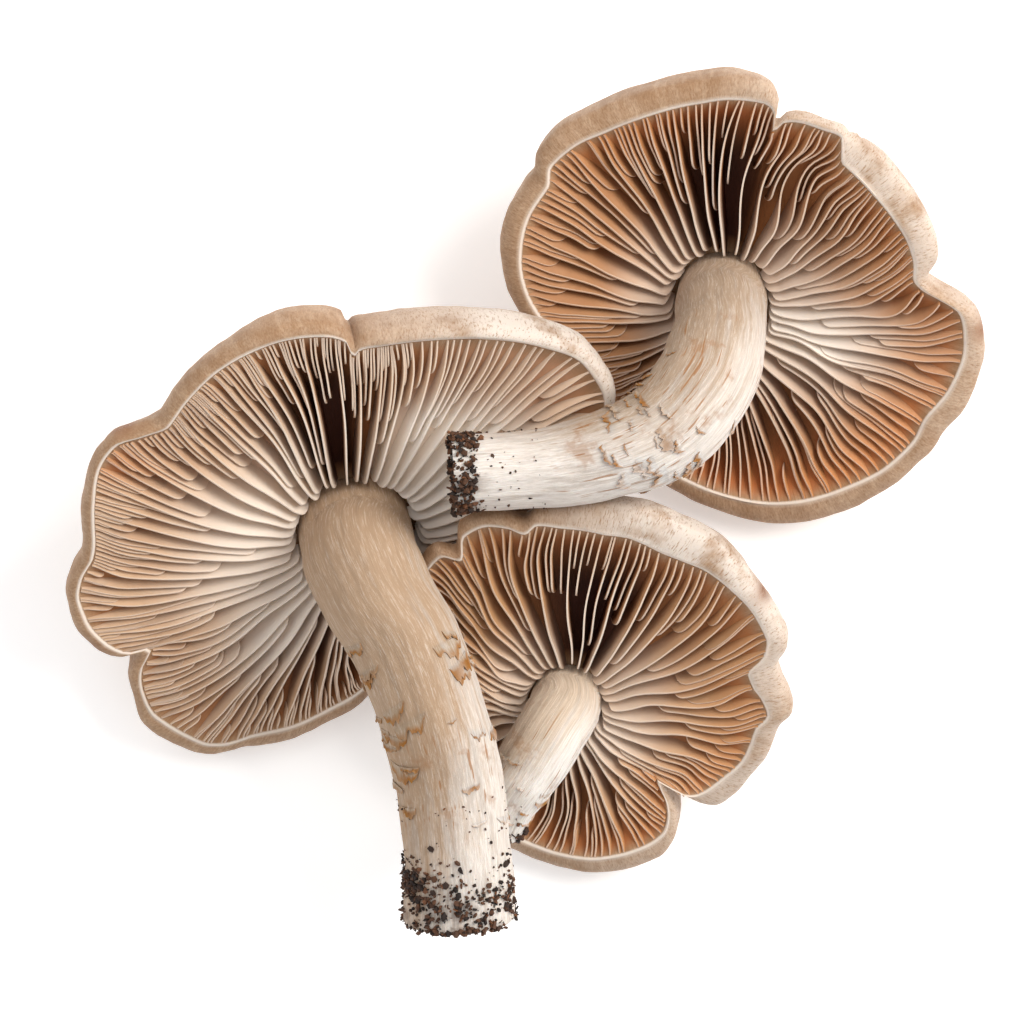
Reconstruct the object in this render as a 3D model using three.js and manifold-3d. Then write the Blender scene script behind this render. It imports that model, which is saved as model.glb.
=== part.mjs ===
// Three gilled mushrooms, picked with soil on their feet, lie in a heap on their caps with the gills up.
// The large one lies left, the tall one right and behind, the small one right and in front.
// The tall one's bent stem lies over the large cap, and the large stem lies over the small cap.
// Lengths are millimetres and angles are degrees. +Z is up, away from the surface they lie on.
import * as THREE from "three";
import { mergeVertices } from "three/addons/utils/BufferGeometryUtils.js";
import Module from "manifold-3d";

const wasm = await Module();
wasm.setup();

const DEG = Math.PI / 180;
const TINY = 1e-9;
const WELD = 1e-4; // vertices nearer than this are one
const CLEARANCE = 0.3; // between a stem and the cap or soil that it meets

// The heap's frame has its origin under the middle of its bounding box, on the surface.
const HEAP_SHIFT = [-2.3, -1.4, 0];

// Margin of every cap: it rolls in towards the gills and ends in a thin pale lip.
const ROLL_HEIGHT = 2.4;
const LIP_WIDTH = 0.7;
const LIP_DROP = 0.4;
const CREASE_SPREAD = 8; // degrees between the rim radii whose mean the crown follows
const NOTCH_FADE = 2.2; // a notch is lost towards the crown as this power of the way out

// Stations along a gill, from the stem at 0 to the lip at 1, and the share of full depth at each.
const LONG_GILL = [
  [0, 0.62], [0.08, 0.92], [0.24, 1], [0.44, 0.92], [0.62, 0.74], [0.82, 0.45],
];
const SHORT_GILL_START = 0.44;
const SHORT_GILL = [
  [0.44, 0.3], [0.62, 0.6], [0.82, 0.4],
];
const GILL_THICKNESS = 0.8;
const GILL_ROOT_THICKNESS = 1.05;
const BULGE_EARLY = 0.8; // brings the highest place of the gill edges nearer to the stem

// Turns of the rolled margin in degrees.
// Stations of the skin go from the crown at 0 to the widest place at 1.
const ROLL_TURNS = [90, 45, 0];
const SIDE_STATIONS = [0.86, 0.7];
const CROWN_STATIONS = [0.5, 0.28];
const TOP_STATION = 0.12;

// A rim is a list of [angle round the hub, radius], and a stem is a list of [x, y, z, radius].
// The stem's root is given from the hub, to the right and up across the cap.
// A roll is a list of [angle, how far the rolled margin stands out past the lip].
// A profile is a list of [angle, exponent] of the superellipse that the cap's side follows there.
// It is about 2.6 where the side is full and steep, and low where the side slopes away thinly.
const LARGE = {
  name: "large",
  hub: [-26.1, -0.5, 23.3],
  tilt: 33,
  heading: -76.7,
  lip: 3.5,
  lipWave: [0.5, 3, 40],
  crown: 17,
  profile: [
    [20, 2.3], [60, 2.6], [100, 2.5], [120, 2.1], [150, 1.7], [175, 1.8], [195, 2.2], [240, 2.3],
    [268, 1.7], [290, 1.3], [335, 1.3], [355, 1.8],
  ],
  gillDepth: 6.5,
  gillBulge: 1.8,
  gillSweep: [3.2, 2, 30],
  longGills: 34,
  rim: [
    [6, 32], [14, 38], [22, 44.5], [30, 47.5], [37, 47.8], [46, 45.2], [58, 41], [70, 37.4], [82, 35],
    [88.5, 34.2], [90.5, 33], [92.5, 36], [100, 38], [112, 39.3], [124, 39.6], [136, 39], [144.5, 38.4],
    [150, 41], [155, 44.5], [161, 45.4], [170, 44.7], [180, 44.1], [184, 44.6], [189, 47.1], [194, 48.4],
    [199, 48.4], [205, 47.4], [210, 45.2], [212, 41.6], [215.5, 45.3], [220, 47.8], [226, 49.5],
    [237, 49.2], [241, 47.8], [246, 44.2], [254, 40.6], [262, 36.5], [270, 33.2], [285, 24], [300, 17.6],
    [315, 15.8], [332, 16], [348, 21],
  ],
  roll: [
    [60, 1.7], [110, 1.7], [142, 1.2], [155, 0.9], [165, 0.8], [175, 1.5], [190, 1.4], [202, 1.9],
    [212, 2.4], [220, 1.8], [228, 3], [238, 2.8], [250, 3.6], [270, 3.4], [300, 1.7],
  ],
  root: [0.2, -4.5],
  rootRadius: 9.5,
  stem: [
    [-24.6, -9, 31, 9.1], [-22, -14.2, 34.7, 9], [-17.6, -21.5, 35.8, 8.9],
    [-13.2, -33, 34.6, 8.9], [-10.4, -45, 31, 8.8], [-9.1, -57, 28.2, 8.8], [-8.8, -66.8, 25.6, 9.2],
  ],
  scales: 0.45,
  soilLength: 8,
  crumbs: 30,
  crumbsDown: 1,
};
const TALL = {
  name: "tall",
  hub: [34.9, 39.3, 18.2],
  tilt: 24,
  heading: -102.8,
  lip: 6,
  lipWave: [0.6, 2, 100],
  crown: 14.8,
  profile: [
    [10, 2.3], [40, 2.3], [54, 1.4], [72, 1.3], [82, 2.2], [95, 2.6], [150, 2.5], [190, 1.8], [240, 1.8],
    [270, 2.2], [330, 2.3],
  ],
  gillDepth: 6,
  gillBulge: 0.4,
  gillSweep: [3, 3, 200],
  longGills: 30,
  rim: [
    [0, 36.5], [2, 34.4], [5.5, 33], [11, 33.4], [17, 33.2], [26, 32.3], [37, 31.4], [48.5, 31.1], [52, 33],
    [54.5, 34.6], [60, 33.8], [66, 33.2], [71, 31.9], [72.8, 29.8], [74.6, 33.4], [78, 34.3], [88, 34],
    [97, 33.3], [110, 33], [124, 33.6], [135, 35], [143, 35.4], [149, 33.8], [160, 34.3], [173, 33.7],
    [183, 32.4], [192, 30.5], [205, 28], [220, 27], [236, 29], [250, 33], [262, 35.8], [272, 37.9],
    [285, 40.3], [294, 41.2], [302, 41.7], [313, 42.5], [321, 42.4], [328, 41.5], [337, 42.4], [345, 42.6],
    [351, 41.9], [356, 40.7],
  ],
  roll: [
    [0, 1], [5, 1.6], [10, 3.2], [18, 3.9], [30, 4.4], [46, 4.5], [50, 3.8], [54, 0.8], [72, 0.7],
    [75, 1.6], [79, 2.8], [90, 3.3], [135, 3.2], [145, 2.6], [153, 3.1], [186, 3], [230, 2.4], [285, 4.2],
    [300, 3.9], [314, 3.1], [325, 3.4], [332, 3.9], [340, 3.3], [348, 2.8], [355, 2],
  ],
  root: [0.1, -4.6],
  rootRadius: 7.6,
  stem: [
    [34.6, 31.6, 24.5, 8.2], [33.9, 27.2, 30.5, 8.4], [31.3, 20.8, 36, 8.3],
    [25, 13.6, 38, 7.7], [17.2, 9.8, 38.5, 7.1], [8, 7.7, 38, 6.6], [-1, 6.8, 38, 6.3],
    [-9.4, 6.4, 38.4, 6.2],
  ],
  scales: 0.3,
  soilLength: 4.5,
  crumbs: 24,
  crumbsDown: 0.1,
};
const SMALL = {
  name: "small",
  hub: [8, -29.5, 17],
  tilt: 28,
  heading: -107.5,
  lip: 3.6,
  lipWave: [0.6, 4, 10],
  crown: 13.6,
  profile: [
    [20, 2.4], [60, 2.6], [95, 2.2], [118, 1.4], [150, 1.3], [200, 1.4], [245, 1.9], [300, 2.3],
  ],
  gillDepth: 5.2,
  gillBulge: 0.8,
  gillSweep: [3.5, 2, 250],
  longGills: 26,
  rim: [
    [4, 34.9], [8, 33.7], [12.5, 33.3], [17, 36.6], [22, 38.2], [29, 38.1], [38, 37.1], [46, 36],
    [52, 34.6], [60, 33.4], [68, 33.2], [77, 32.3], [88, 32.3], [96, 32.8], [100, 31.4], [105, 33],
    [112, 34.2], [118, 33.6], [123, 30], [128, 32.2], [135, 31.5], [148, 28], [165, 25], [185, 24.5],
    [205, 25], [225, 26], [245, 27.6], [260, 28.8], [272, 30], [284, 30.9], [300, 31.1], [306, 30.7],
    [311, 29], [315, 26.6], [319.5, 22.8], [321.5, 27.6], [324.5, 29.4], [335, 31.5], [343, 33.1],
    [354, 34], [359, 35.8],
  ],
  roll: [
    [2, 3.6], [12, 4.1], [18, 3.2], [24, 2.3], [32, 2.2], [42, 3.4], [50, 4.6], [58, 5.2], [70, 4.9],
    [80, 4.2], [92, 2.6], [102, 1.7], [200, 1.7], [250, 2.8], [282, 3.4], [300, 3.1], [308, 2.3],
    [317, 2.4], [325, 3.8], [333, 3.5], [341, 2.8], [355, 2.9],
  ],
  root: [1, -2.8],
  rootRadius: 5.9,
  stem: [
    [6.6, -36.5, 21.4, 5.9], [2.6, -43, 20, 5.6], [-0.8, -48.6, 17, 4.8], [-2.4, -53, 15, 4.1],
  ],
  scales: 0.3,
  soilLength: 3.5,
  crumbs: 8,
  crumbsDown: 0.2,
};

const STEM_SIDES = 18;
const STEM_RINGS = { large: 22, tall: 20, small: 14 };
const STEM_RISE = 3; // how far a stem stays square to its cap above the gill edges
const SCALE_MIDDLE = 0.62; // share of the stem's length where its torn scales are thickest
const SCALE_SPREAD = 0.26;
const SCALE_STEPS = 11;
const SOIL_SKIN = 0.9;
const SOIL_SIDES = 14;
const CRUMB_SIZES = [0.9, 1.7];
const END_INSET = 0.4; // how far in the soil's outermost ring lies, as a share of the stem's radius

const COLOURS = {
  cap: { color: 0xc9a684, roughness: 0.72, metalness: 0 },
  stem: { color: 0xe9ddcf, roughness: 0.7, metalness: 0 },
  soil: { color: 0x3a2418, roughness: 0.95, metalness: 0 },
};

// Repeatable random numbers from 0 to 1, for the soil.
function drawer(seed) {
  let state = seed;
  return () => {
    state = (state * 1664525 + 1013904223) % 4294967296;
    return state / 4294967296;
  };
}

// A smooth closed curve through [angle, value] pairs that never overshoots them.
function around(pairs) {
  const count = pairs.length;
  const angle = (i) => pairs[((i % count) + count) % count][0] + 360 * Math.floor(i / count);
  const value = (i) => pairs[((i % count) + count) % count][1];
  const slope = (i) => (value(i + 1) - value(i)) / (angle(i + 1) - angle(i));
  const tangent = (i) => {
    const before = slope(i - 1);
    const after = slope(i);
    return before * after <= 0 ? 0 : (2 * before * after) / (before + after);
  };
  return (degrees) => {
    let u = ((degrees % 360) + 360) % 360;
    if (u < angle(0)) u += 360;
    let i = 0;
    while (i < count && angle(i + 1) <= u) i += 1;
    const span = angle(i + 1) - angle(i);
    const t = (u - angle(i)) / span;
    const rest = 1 - t;
    return (
      value(i) * (1 + 2 * t) * rest * rest +
      tangent(i) * span * t * rest * rest +
      value(i + 1) * t * t * (3 - 2 * t) -
      tangent(i + 1) * span * t * t * rest
    );
  };
}

// The axes of a cap: along its stem, and two across it, the first of them level with the picture's right.
function axesOf(mushroom) {
  const { tilt, heading } = mushroom;
  const along = new THREE.Vector3(
    Math.sin(tilt * DEG) * Math.cos(heading * DEG),
    Math.sin(tilt * DEG) * Math.sin(heading * DEG),
    Math.cos(tilt * DEG),
  );
  const right = new THREE.Vector3(1, 0, 0).addScaledVector(along, -along.x).normalize();
  const up = new THREE.Vector3().crossVectors(along, right);
  return { along, right, up };
}

// The stem's top stands this far below the gill edges, on the cap's flesh.
function socketDepth(mushroom) {
  return mushroom.gillDepth * LONG_GILL[0][1];
}

// How far the stem stands off the hub that the rim is measured from.
function rootShift(mushroom) {
  const { right, up } = axesOf(mushroom);
  return right.multiplyScalar(mushroom.root[0]).addScaledVector(up, mushroom.root[1]);
}

// Collects rings of vertices and joins each ring to the next, whatever their counts.
class RingStack {
  constructor() {
    this.positions = [];
    this.faces = [];
  }

  vertex(point) {
    this.positions.push(point.x, point.y, point.z);
    return this.positions.length / 3 - 1;
  }

  face(a, b, c) {
    if (a !== b && b !== c && c !== a) this.faces.push(a, b, c);
  }

  // Both rings are lists of { index, t } in order of t, over one turn of length turn.
  join(inner, outer, turn) {
    const at = (ring, i) => ring[i % ring.length].t + turn * Math.floor(i / ring.length);
    let a = 0;
    let b = 0;
    while (a < inner.length || b < outer.length) {
      const from = inner[a % inner.length].index;
      const to = outer[b % outer.length].index;
      const innerIsFirst = a < inner.length && at(inner, a + 1) <= at(outer, b + 1) + TINY;
      const innerIsNext = b >= outer.length || innerIsFirst;
      if (innerIsNext) {
        a += 1;
        this.face(from, to, inner[a % inner.length].index);
      } else {
        b += 1;
        this.face(from, to, outer[b % outer.length].index);
      }
    }
  }

  // Closes a whole stack of rings from the point that it starts at to the one that it ends at.
  enclose(start, rings, end, turn) {
    const first = this.vertex(start);
    const last = this.vertex(end);
    const outermost = rings[rings.length - 1];
    rings[0].forEach((v, i) => this.face(first, v.index, rings[0][(i + 1) % rings[0].length].index));
    for (let i = 0; i + 1 < rings.length; i += 1) this.join(rings[i], rings[i + 1], turn);
    outermost.forEach((v, i) => this.face(v.index, last, outermost[(i + 1) % outermost.length].index));
  }

  geometry() {
    const made = new THREE.BufferGeometry();
    made.setAttribute("position", new THREE.Float32BufferAttribute(this.positions, 3));
    made.setIndex(this.faces);
    return made;
  }
}

// The form of one cap, as points at an angle round the hub and a share of the way out.
class CapForm {
  constructor(mushroom) {
    this.m = mushroom;
    this.axes = axesOf(mushroom);
    this.hub = new THREE.Vector3(...mushroom.hub);
    this.rim = around(mushroom.rim);
    this.rollWidth = around(mushroom.roll);
    this.profile = around(mushroom.profile);
    this.inner = mushroom.rootRadius + CLEARANCE;
    this.shift = rootShift(mushroom);
  }

  lip(u) {
    const [height, waves, start] = this.m.lipWave;
    return this.m.lip + height * Math.sin((waves * u + start) * DEG);
  }

  // The rim's outline without its notches, which the crown follows.
  softRim(u) {
    let sum = 0;
    for (let k = -3; k <= 3; k += 1) sum += this.rim(u + k * CREASE_SPREAD);
    return sum / 7;
  }

  // A point from its angle, distance from the hub's axis and height along it, kept above the surface.
  place(u, radius, height) {
    const point = this.hub
      .clone()
      .addScaledVector(this.axes.right, radius * Math.cos(u * DEG))
      .addScaledVector(this.axes.up, radius * Math.sin(u * DEG))
      .addScaledVector(this.axes.along, height);
    point.z = Math.max(point.z, 0);
    return point;
  }

  reach(u, v) {
    return this.inner + (this.rim(u) - LIP_WIDTH - this.inner) * v;
  }

  // A point on the gills' side, where the stem at 0 stands off the hub and the lip at 1 is round it.
  under(u, v, radius, height) {
    const point = this.place(u, radius, height).addScaledVector(this.shift, 1 - v);
    point.z = Math.max(point.z, 0);
    return point;
  }

  edge(u, v) {
    return (this.lip(u) - LIP_DROP) * v + this.m.gillBulge * Math.sin(Math.PI * Math.pow(v, BULGE_EARLY));
  }

  // Where the gills grow from: the flesh under them.
  floor(u, v) {
    const full = LONG_GILL.map((s) => s[0]).concat(1);
    const depths = LONG_GILL.map((s) => s[1]).concat(0);
    let i = 0;
    while (i < full.length - 2 && full[i + 1] <= v) i += 1;
    const t = (v - full[i]) / (full[i + 1] - full[i]);
    return this.edge(u, v) - this.m.gillDepth * (depths[i] + (depths[i + 1] - depths[i]) * t);
  }

  sweep(u, v) {
    const [turn, waves, start] = this.m.gillSweep;
    return turn * Math.sin((waves * u + start) * DEG) * Math.sin(Math.PI * v);
  }

  // The skin from the crown at 0 to the widest place at 1.
  skin(u, s) {
    const power = 2 / this.profile(u);
    const out = Math.pow(Math.sin((s * Math.PI) / 2), power);
    const down = Math.pow(Math.cos((s * Math.PI) / 2), power);
    const soft = this.softRim(u);
    const radius = (soft + (this.rim(u) - soft) * Math.pow(out, NOTCH_FADE) + this.rollWidth(u)) * out;
    const widest = this.lip(u) - ROLL_HEIGHT;
    return this.place(u, radius, widest - (widest + this.m.crown) * down);
  }

  roll(u, turn) {
    const radius = this.rim(u) + this.rollWidth(u) * Math.cos(turn * DEG);
    return this.place(u, radius, this.lip(u) - ROLL_HEIGHT * (1 - Math.sin(turn * DEG)));
  }
}

// A cap in one solid with its long and short gills.
// A gill has its number as its t, and a short one lies half way.
function capGeometry(mushroom) {
  const form = new CapForm(mushroom);
  const count = mushroom.longGills;
  const stack = new RingStack();
  const degreesOf = (t) => (t * 360) / count;

  // The four corners of one gill's section: root, edge, edge, root.
  const section = (t, v, share) => {
    const centre = degreesOf(t) + form.sweep(degreesOf(t), v);
    const radius = form.reach(centre, v);
    const halfEdge = GILL_THICKNESS / 2 / radius / DEG;
    const halfRoot = GILL_ROOT_THICKNESS / 2 / radius / DEG;
    const floor = form.floor(centre, v);
    const height = floor + mushroom.gillDepth * share;
    const put = (side, half, level, step) => ({
      index: stack.vertex(form.under(centre + side * half, v, radius, level)),
      t: t + side * step,
    });
    return {
      left: put(-1, halfRoot, floor, 0.1),
      crest: share > 0 ? [put(-1, halfEdge, height, 0.05), put(1, halfEdge, height, 0.05)] : [],
      right: put(1, halfRoot, floor, 0.1),
    };
  };
  const flat = (sections) => sections.flatMap((s) => [s.left, s.right]);
  const raised = (sections) => sections.flatMap((s) => [s.left, ...s.crest, s.right]);

  const rings = [];
  for (const [v, share] of LONG_GILL) {
    const long = [];
    const both = [];
    const startsShort = v === SHORT_GILL_START;
    for (let j = 0; j < count; j += 1) {
      const main = section(j, v, share);
      long.push(main);
      both.push(main);
      const short = SHORT_GILL.find((s) => s[0] === v);
      if (short) both.push(section(j + 0.5, v, short[1]));
    }
    if (v === 0) rings.push(flat(long));
    const rising = (s, i) => (i % 2 ? [s.left, s.right] : [s.left, ...s.crest, s.right]);
    if (startsShort) rings.push(both.flatMap(rising));
    rings.push(raised(both));
  }
  const ends = [];
  for (let j = 0; j < 2 * count; j += 1) ends.push(section(j / 2, 1, 0));
  rings.push(flat(ends));

  const plain = (pointAt, step) => {
    const ring = [];
    for (let t = 0; t < count; t += step) ring.push({ index: stack.vertex(pointAt(degreesOf(t))), t });
    return ring;
  };
  for (const turn of ROLL_TURNS) rings.push(plain((u) => form.roll(u, turn), 0.5));
  for (const s of SIDE_STATIONS) rings.push(plain((u) => form.skin(u, s), 0.5));
  for (const s of CROWN_STATIONS) rings.push(plain((u) => form.skin(u, s), 1));
  rings.push(plain((u) => form.skin(u, TOP_STATION), 2));

  stack.enclose(form.under(0, 0, 0, -socketDepth(mushroom)), rings, form.skin(0, 0), count);
  return stack.geometry();
}

// A stem's centreline with its radius, its frames, and a point at any place on its side.
class StemForm {
  constructor(mushroom) {
    const { along } = axesOf(mushroom);
    const root = new THREE.Vector3(...mushroom.hub).add(rootShift(mushroom));
    const heights = [CLEARANCE - socketDepth(mushroom), 0, STEM_RISE];
    const rise = heights.map((height) => root.clone().addScaledVector(along, height));
    const places = [...rise, ...mushroom.stem.map((p) => new THREE.Vector3(p[0], p[1], p[2]))];
    this.radii = [...rise.map(() => mushroom.rootRadius), ...mushroom.stem.map((p) => p[3])];
    this.scales = mushroom.scales;
    this.curve = new THREE.CatmullRomCurve3(places, false, "centripetal");
    this.rings = STEM_RINGS[mushroom.name];
    this.frames = this.curve.computeFrenetFrames(this.rings);
  }

  radius(s) {
    const at = s * (this.radii.length - 1);
    const i = Math.min(Math.floor(at), this.radii.length - 2);
    return this.radii[i] + (this.radii[i + 1] - this.radii[i]) * (at - i);
  }

  // Torn scales: low steps that run part of the way round the middle of the stem.
  relief(s, degrees) {
    const band = Math.max(0, 1 - Math.abs(s - SCALE_MIDDLE) / SCALE_SPREAD);
    const step = (s * SCALE_STEPS + 0.6 * Math.sin(3 * degrees * DEG)) % 1;
    return this.scales * band * (step - 0.4);
  }

  point(i, degrees, extra) {
    const s = i / this.rings;
    const radius = this.radius(s) + extra;
    return this.curve
      .getPointAt(s)
      .addScaledVector(this.frames.normals[i], radius * Math.cos(degrees * DEG))
      .addScaledVector(this.frames.binormals[i], radius * Math.sin(degrees * DEG));
  }
}

function ringOf(stack, sides, pointAt) {
  const ring = [];
  for (let j = 0; j < sides; j += 1) {
    const point = pointAt((j * 360) / sides);
    point.z = Math.max(point.z, 0);
    ring.push({ index: stack.vertex(point), t: j });
  }
  return ring;
}

// The stem, or with growth the room that it needs in something round it.
function stemGeometry(mushroom, growth) {
  const form = new StemForm(mushroom);
  const stack = new RingStack();
  const rings = [];
  const foot = form.curve.getTangentAt(1).multiplyScalar(growth);
  for (let i = form.rings; i >= 0; i -= 1) {
    const s = i / form.rings;
    const shift = i === form.rings ? foot : new THREE.Vector3();
    const outline = (degrees) => form.point(i, degrees, form.relief(s, degrees) + growth).add(shift);
    rings.push(ringOf(stack, STEM_SIDES, outline));
  }
  stack.enclose(form.curve.getPointAt(1).add(foot), rings, form.curve.getPointAt(0), STEM_SIDES);
  return stack.geometry();
}

// A geometry as a manifold-3d solid, and back.
function solidOf(geometry) {
  const bare = geometry.clone();
  bare.deleteAttribute("normal");
  bare.deleteAttribute("uv");
  const merged = mergeVertices(bare, WELD);
  return new wasm.Manifold(
    new wasm.Mesh({
      numProp: 3,
      vertProperties: merged.attributes.position.array,
      triVerts: new Uint32Array(merged.index.array),
    }),
  );
}

function geometryOf(solid) {
  const mesh = solid.getMesh();
  const made = new THREE.BufferGeometry();
  made.setAttribute("position", new THREE.Float32BufferAttribute(mesh.vertProperties, 3));
  made.setIndex(new THREE.BufferAttribute(mesh.triVerts, 1));
  return made;
}

// The soil clings round the stem's foot as a lumpy cup with crumbs sunk into it.
function soilGeometry(mushroom, seed) {
  const form = new StemForm(mushroom);
  const draw = drawer(seed);
  const first = Math.round(form.rings * (1 - mushroom.soilLength / form.curve.getLength()));
  const way = form.curve.getTangentAt(1);
  const foot = form.curve.getPointAt(1);
  const beyond = (shift) => foot.clone().addScaledVector(way, shift);
  const lump = () => CLEARANCE + SOIL_SKIN * (0.75 + 0.7 * draw());
  const stack = new RingStack();
  const rings = [
    ringOf(stack, SOIL_SIDES, (d) =>
      form.point(form.rings, d, -END_INSET * form.radius(1)).addScaledVector(way, 2 * lump()),
    ),
    ringOf(stack, SOIL_SIDES, (d) => form.point(form.rings, d, lump()).addScaledVector(way, SOIL_SKIN)),
  ];
  for (let i = form.rings - 1; i >= first; i -= 1) {
    rings.push(ringOf(stack, SOIL_SIDES, (d) => form.point(i, d, lump())));
  }
  stack.enclose(beyond(2 * SOIL_SKIN), rings, form.curve.getPointAt(first / form.rings), SOIL_SIDES);

  let soil = solidOf(stack.geometry());
  for (let k = 0; k < mushroom.crumbs; k += 1) {
    const size = CRUMB_SIZES[0] + (CRUMB_SIZES[1] - CRUMB_SIZES[0]) * draw();
    const crumb = new THREE.IcosahedronGeometry(size, 0);
    const i = Math.min(form.rings, first + 1 + Math.floor(draw() * (form.rings - first)));
    const inward = -form.radius(1) * (0.25 + 0.6 * draw());
    const side = draw() * 360;
    const onSide = k % 3 !== 0;
    const place = onSide
      ? form.point(i, side, SOIL_SKIN)
      : form.point(form.rings, side, inward).addScaledVector(way, 2 * SOIL_SKIN);
    const lowest = foot.z - mushroom.crumbsDown * form.radius(1);
    if (place.z < lowest) place.z = 2 * lowest - place.z;
    crumb.rotateX(draw() * Math.PI);
    crumb.rotateY(draw() * Math.PI);
    crumb.translate(place.x, place.y, place.z);
    soil = soil.add(solidOf(crumb));
  }
  const hollowed = soil.subtract(solidOf(stemGeometry(mushroom, CLEARANCE)));
  const [whole] = hollowed.decompose().sort((a, b) => b.volume() - a.volume());
  return geometryOf(whole);
}

function meshOf(name, geometry, look) {
  const mesh = new THREE.Mesh(geometry, new THREE.MeshStandardMaterial(look));
  mesh.name = name;
  return mesh;
}

const heap = new THREE.Group();
[LARGE, TALL, SMALL].forEach((mushroom, number) => {
  heap.add(meshOf(`cap_${mushroom.name}`, capGeometry(mushroom), COLOURS.cap));
  heap.add(meshOf(`stem_${mushroom.name}`, stemGeometry(mushroom, 0), COLOURS.stem));
  heap.add(meshOf(`soil_${mushroom.name}`, soilGeometry(mushroom, 11 + number), COLOURS.soil));
});
heap.position.set(...HEAP_SHIFT);

export default heap;
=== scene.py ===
"""A heap of three gilled mushrooms, lying on their caps with gills and soil-tipped stems up.

Sizes are millimetres and degrees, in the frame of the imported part, and become metres where a mesh is
written.
"""

import logging
import math
from dataclasses import dataclass
from enum import Enum
from functools import partial

import bpy
import numpy as np
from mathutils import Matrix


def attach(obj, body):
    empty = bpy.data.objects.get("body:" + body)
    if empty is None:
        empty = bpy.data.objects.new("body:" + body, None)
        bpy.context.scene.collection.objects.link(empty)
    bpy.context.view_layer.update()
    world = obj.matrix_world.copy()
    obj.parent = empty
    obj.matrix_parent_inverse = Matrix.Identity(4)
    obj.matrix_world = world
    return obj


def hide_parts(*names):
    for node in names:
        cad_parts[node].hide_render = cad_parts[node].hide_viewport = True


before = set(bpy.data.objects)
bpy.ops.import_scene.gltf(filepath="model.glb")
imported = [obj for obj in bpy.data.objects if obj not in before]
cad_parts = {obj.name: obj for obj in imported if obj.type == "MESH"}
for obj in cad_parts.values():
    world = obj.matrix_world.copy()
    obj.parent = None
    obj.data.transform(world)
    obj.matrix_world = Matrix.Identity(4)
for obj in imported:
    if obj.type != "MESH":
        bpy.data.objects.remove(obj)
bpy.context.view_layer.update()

log = logging.getLogger("mushrooms")

MM = 0.001
CLEARANCE = 0.3  # round a stem where it stands in its cap
HEAP_SHIFT = np.array((-2.3, -1.4, 0.0))  # from the heap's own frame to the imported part's
SCALE = 0.166  # millimetres in one pixel of the picture, at the height of the camera's focus
PICTURE = 1024  # pixels in the picture's width

# Margin of every cap, which rolls in towards the gills and ends in a thin pale lip.
ROLL_HEIGHT = 2.4
LIP_WIDTH = 0.7
LIP_DROP = 0.4
CREASE_SPREAD = 8  # degrees between the places of the outline that the crown averages
CREASE_PLACES = 3  # on either side
NOTCH_FADE = 2.2  # how fast a notch fades out towards the crown

# Share of a gill's full depth at stations from the stem, at 0, to the lip, at 1.
DEPTH_STATIONS = (0.0, 0.08, 0.24, 0.44, 0.62, 0.82, 1.0)
DEPTH_SHARES = (0.62, 0.92, 1.0, 0.92, 0.74, 0.45, 0.0)

SHALLOW = 0.64  # share of that depth where no shade is painted into the gaps
RAISED = 0.3  # what comes off that share where the most light is painted on the gills
TURN_START = 0.55  # share of the way out from which gills turn to meet the margin squarely
TURN_SPAN = 14  # degrees to either side over which the margin's slant is taken
TURN_MOST = 0.34  # steepest slant that they follow

CAP_SEGMENTS = 320
CAP_ROWS = 72
STEM_SEGMENTS = 112
STEM_ROWS = 150
STEM_RISE = 3.0  # how far a stem goes straight up out of its cap


@dataclass(frozen=True)
class Sizes:
    """One mushroom's driving sizes, which its solids have too, and how its gills and stem are finished.

    A rim is angle and radius, a roll is angle and width, a stem is x, y, z and radius, and a profile is
    angle and exponent. The stem's root is given from the hub, to the right and up across the cap. The lip's
    wave is height, waves and start, and the gills' sweep is degrees, waves and start. Waviness, the gills'
    painted light, painted glow and painted shade (which also deepens their gaps), and the skin's silver
    with its painted highlight are angle and strength. A stain is angle, share of the way out and size, and
    a clump of soil is share of the stem's length, angle and spread.
    """

    name: str
    hub: tuple
    tilt: float
    heading: float
    lip: float
    lip_wave: tuple
    crown: float
    profile: tuple
    gill_depth: float
    gill_bulge: float
    gill_sweep: tuple
    gill_lean: float
    rim: tuple
    roll: tuple
    root: tuple
    root_radius: float
    stem: tuple
    gills: int
    gill_ranks: int
    waviness: tuple
    gill_painted_light: tuple
    gill_painted_glow: tuple
    gill_painted_shade: tuple
    silver_sheen: tuple
    stains: tuple
    flakes: int
    flake_range: tuple
    flake_size: tuple
    tan_range: tuple
    tan: str
    white: str
    face: str
    crumbs: int
    soil_length: float
    clumps: tuple
    seed: int


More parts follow.
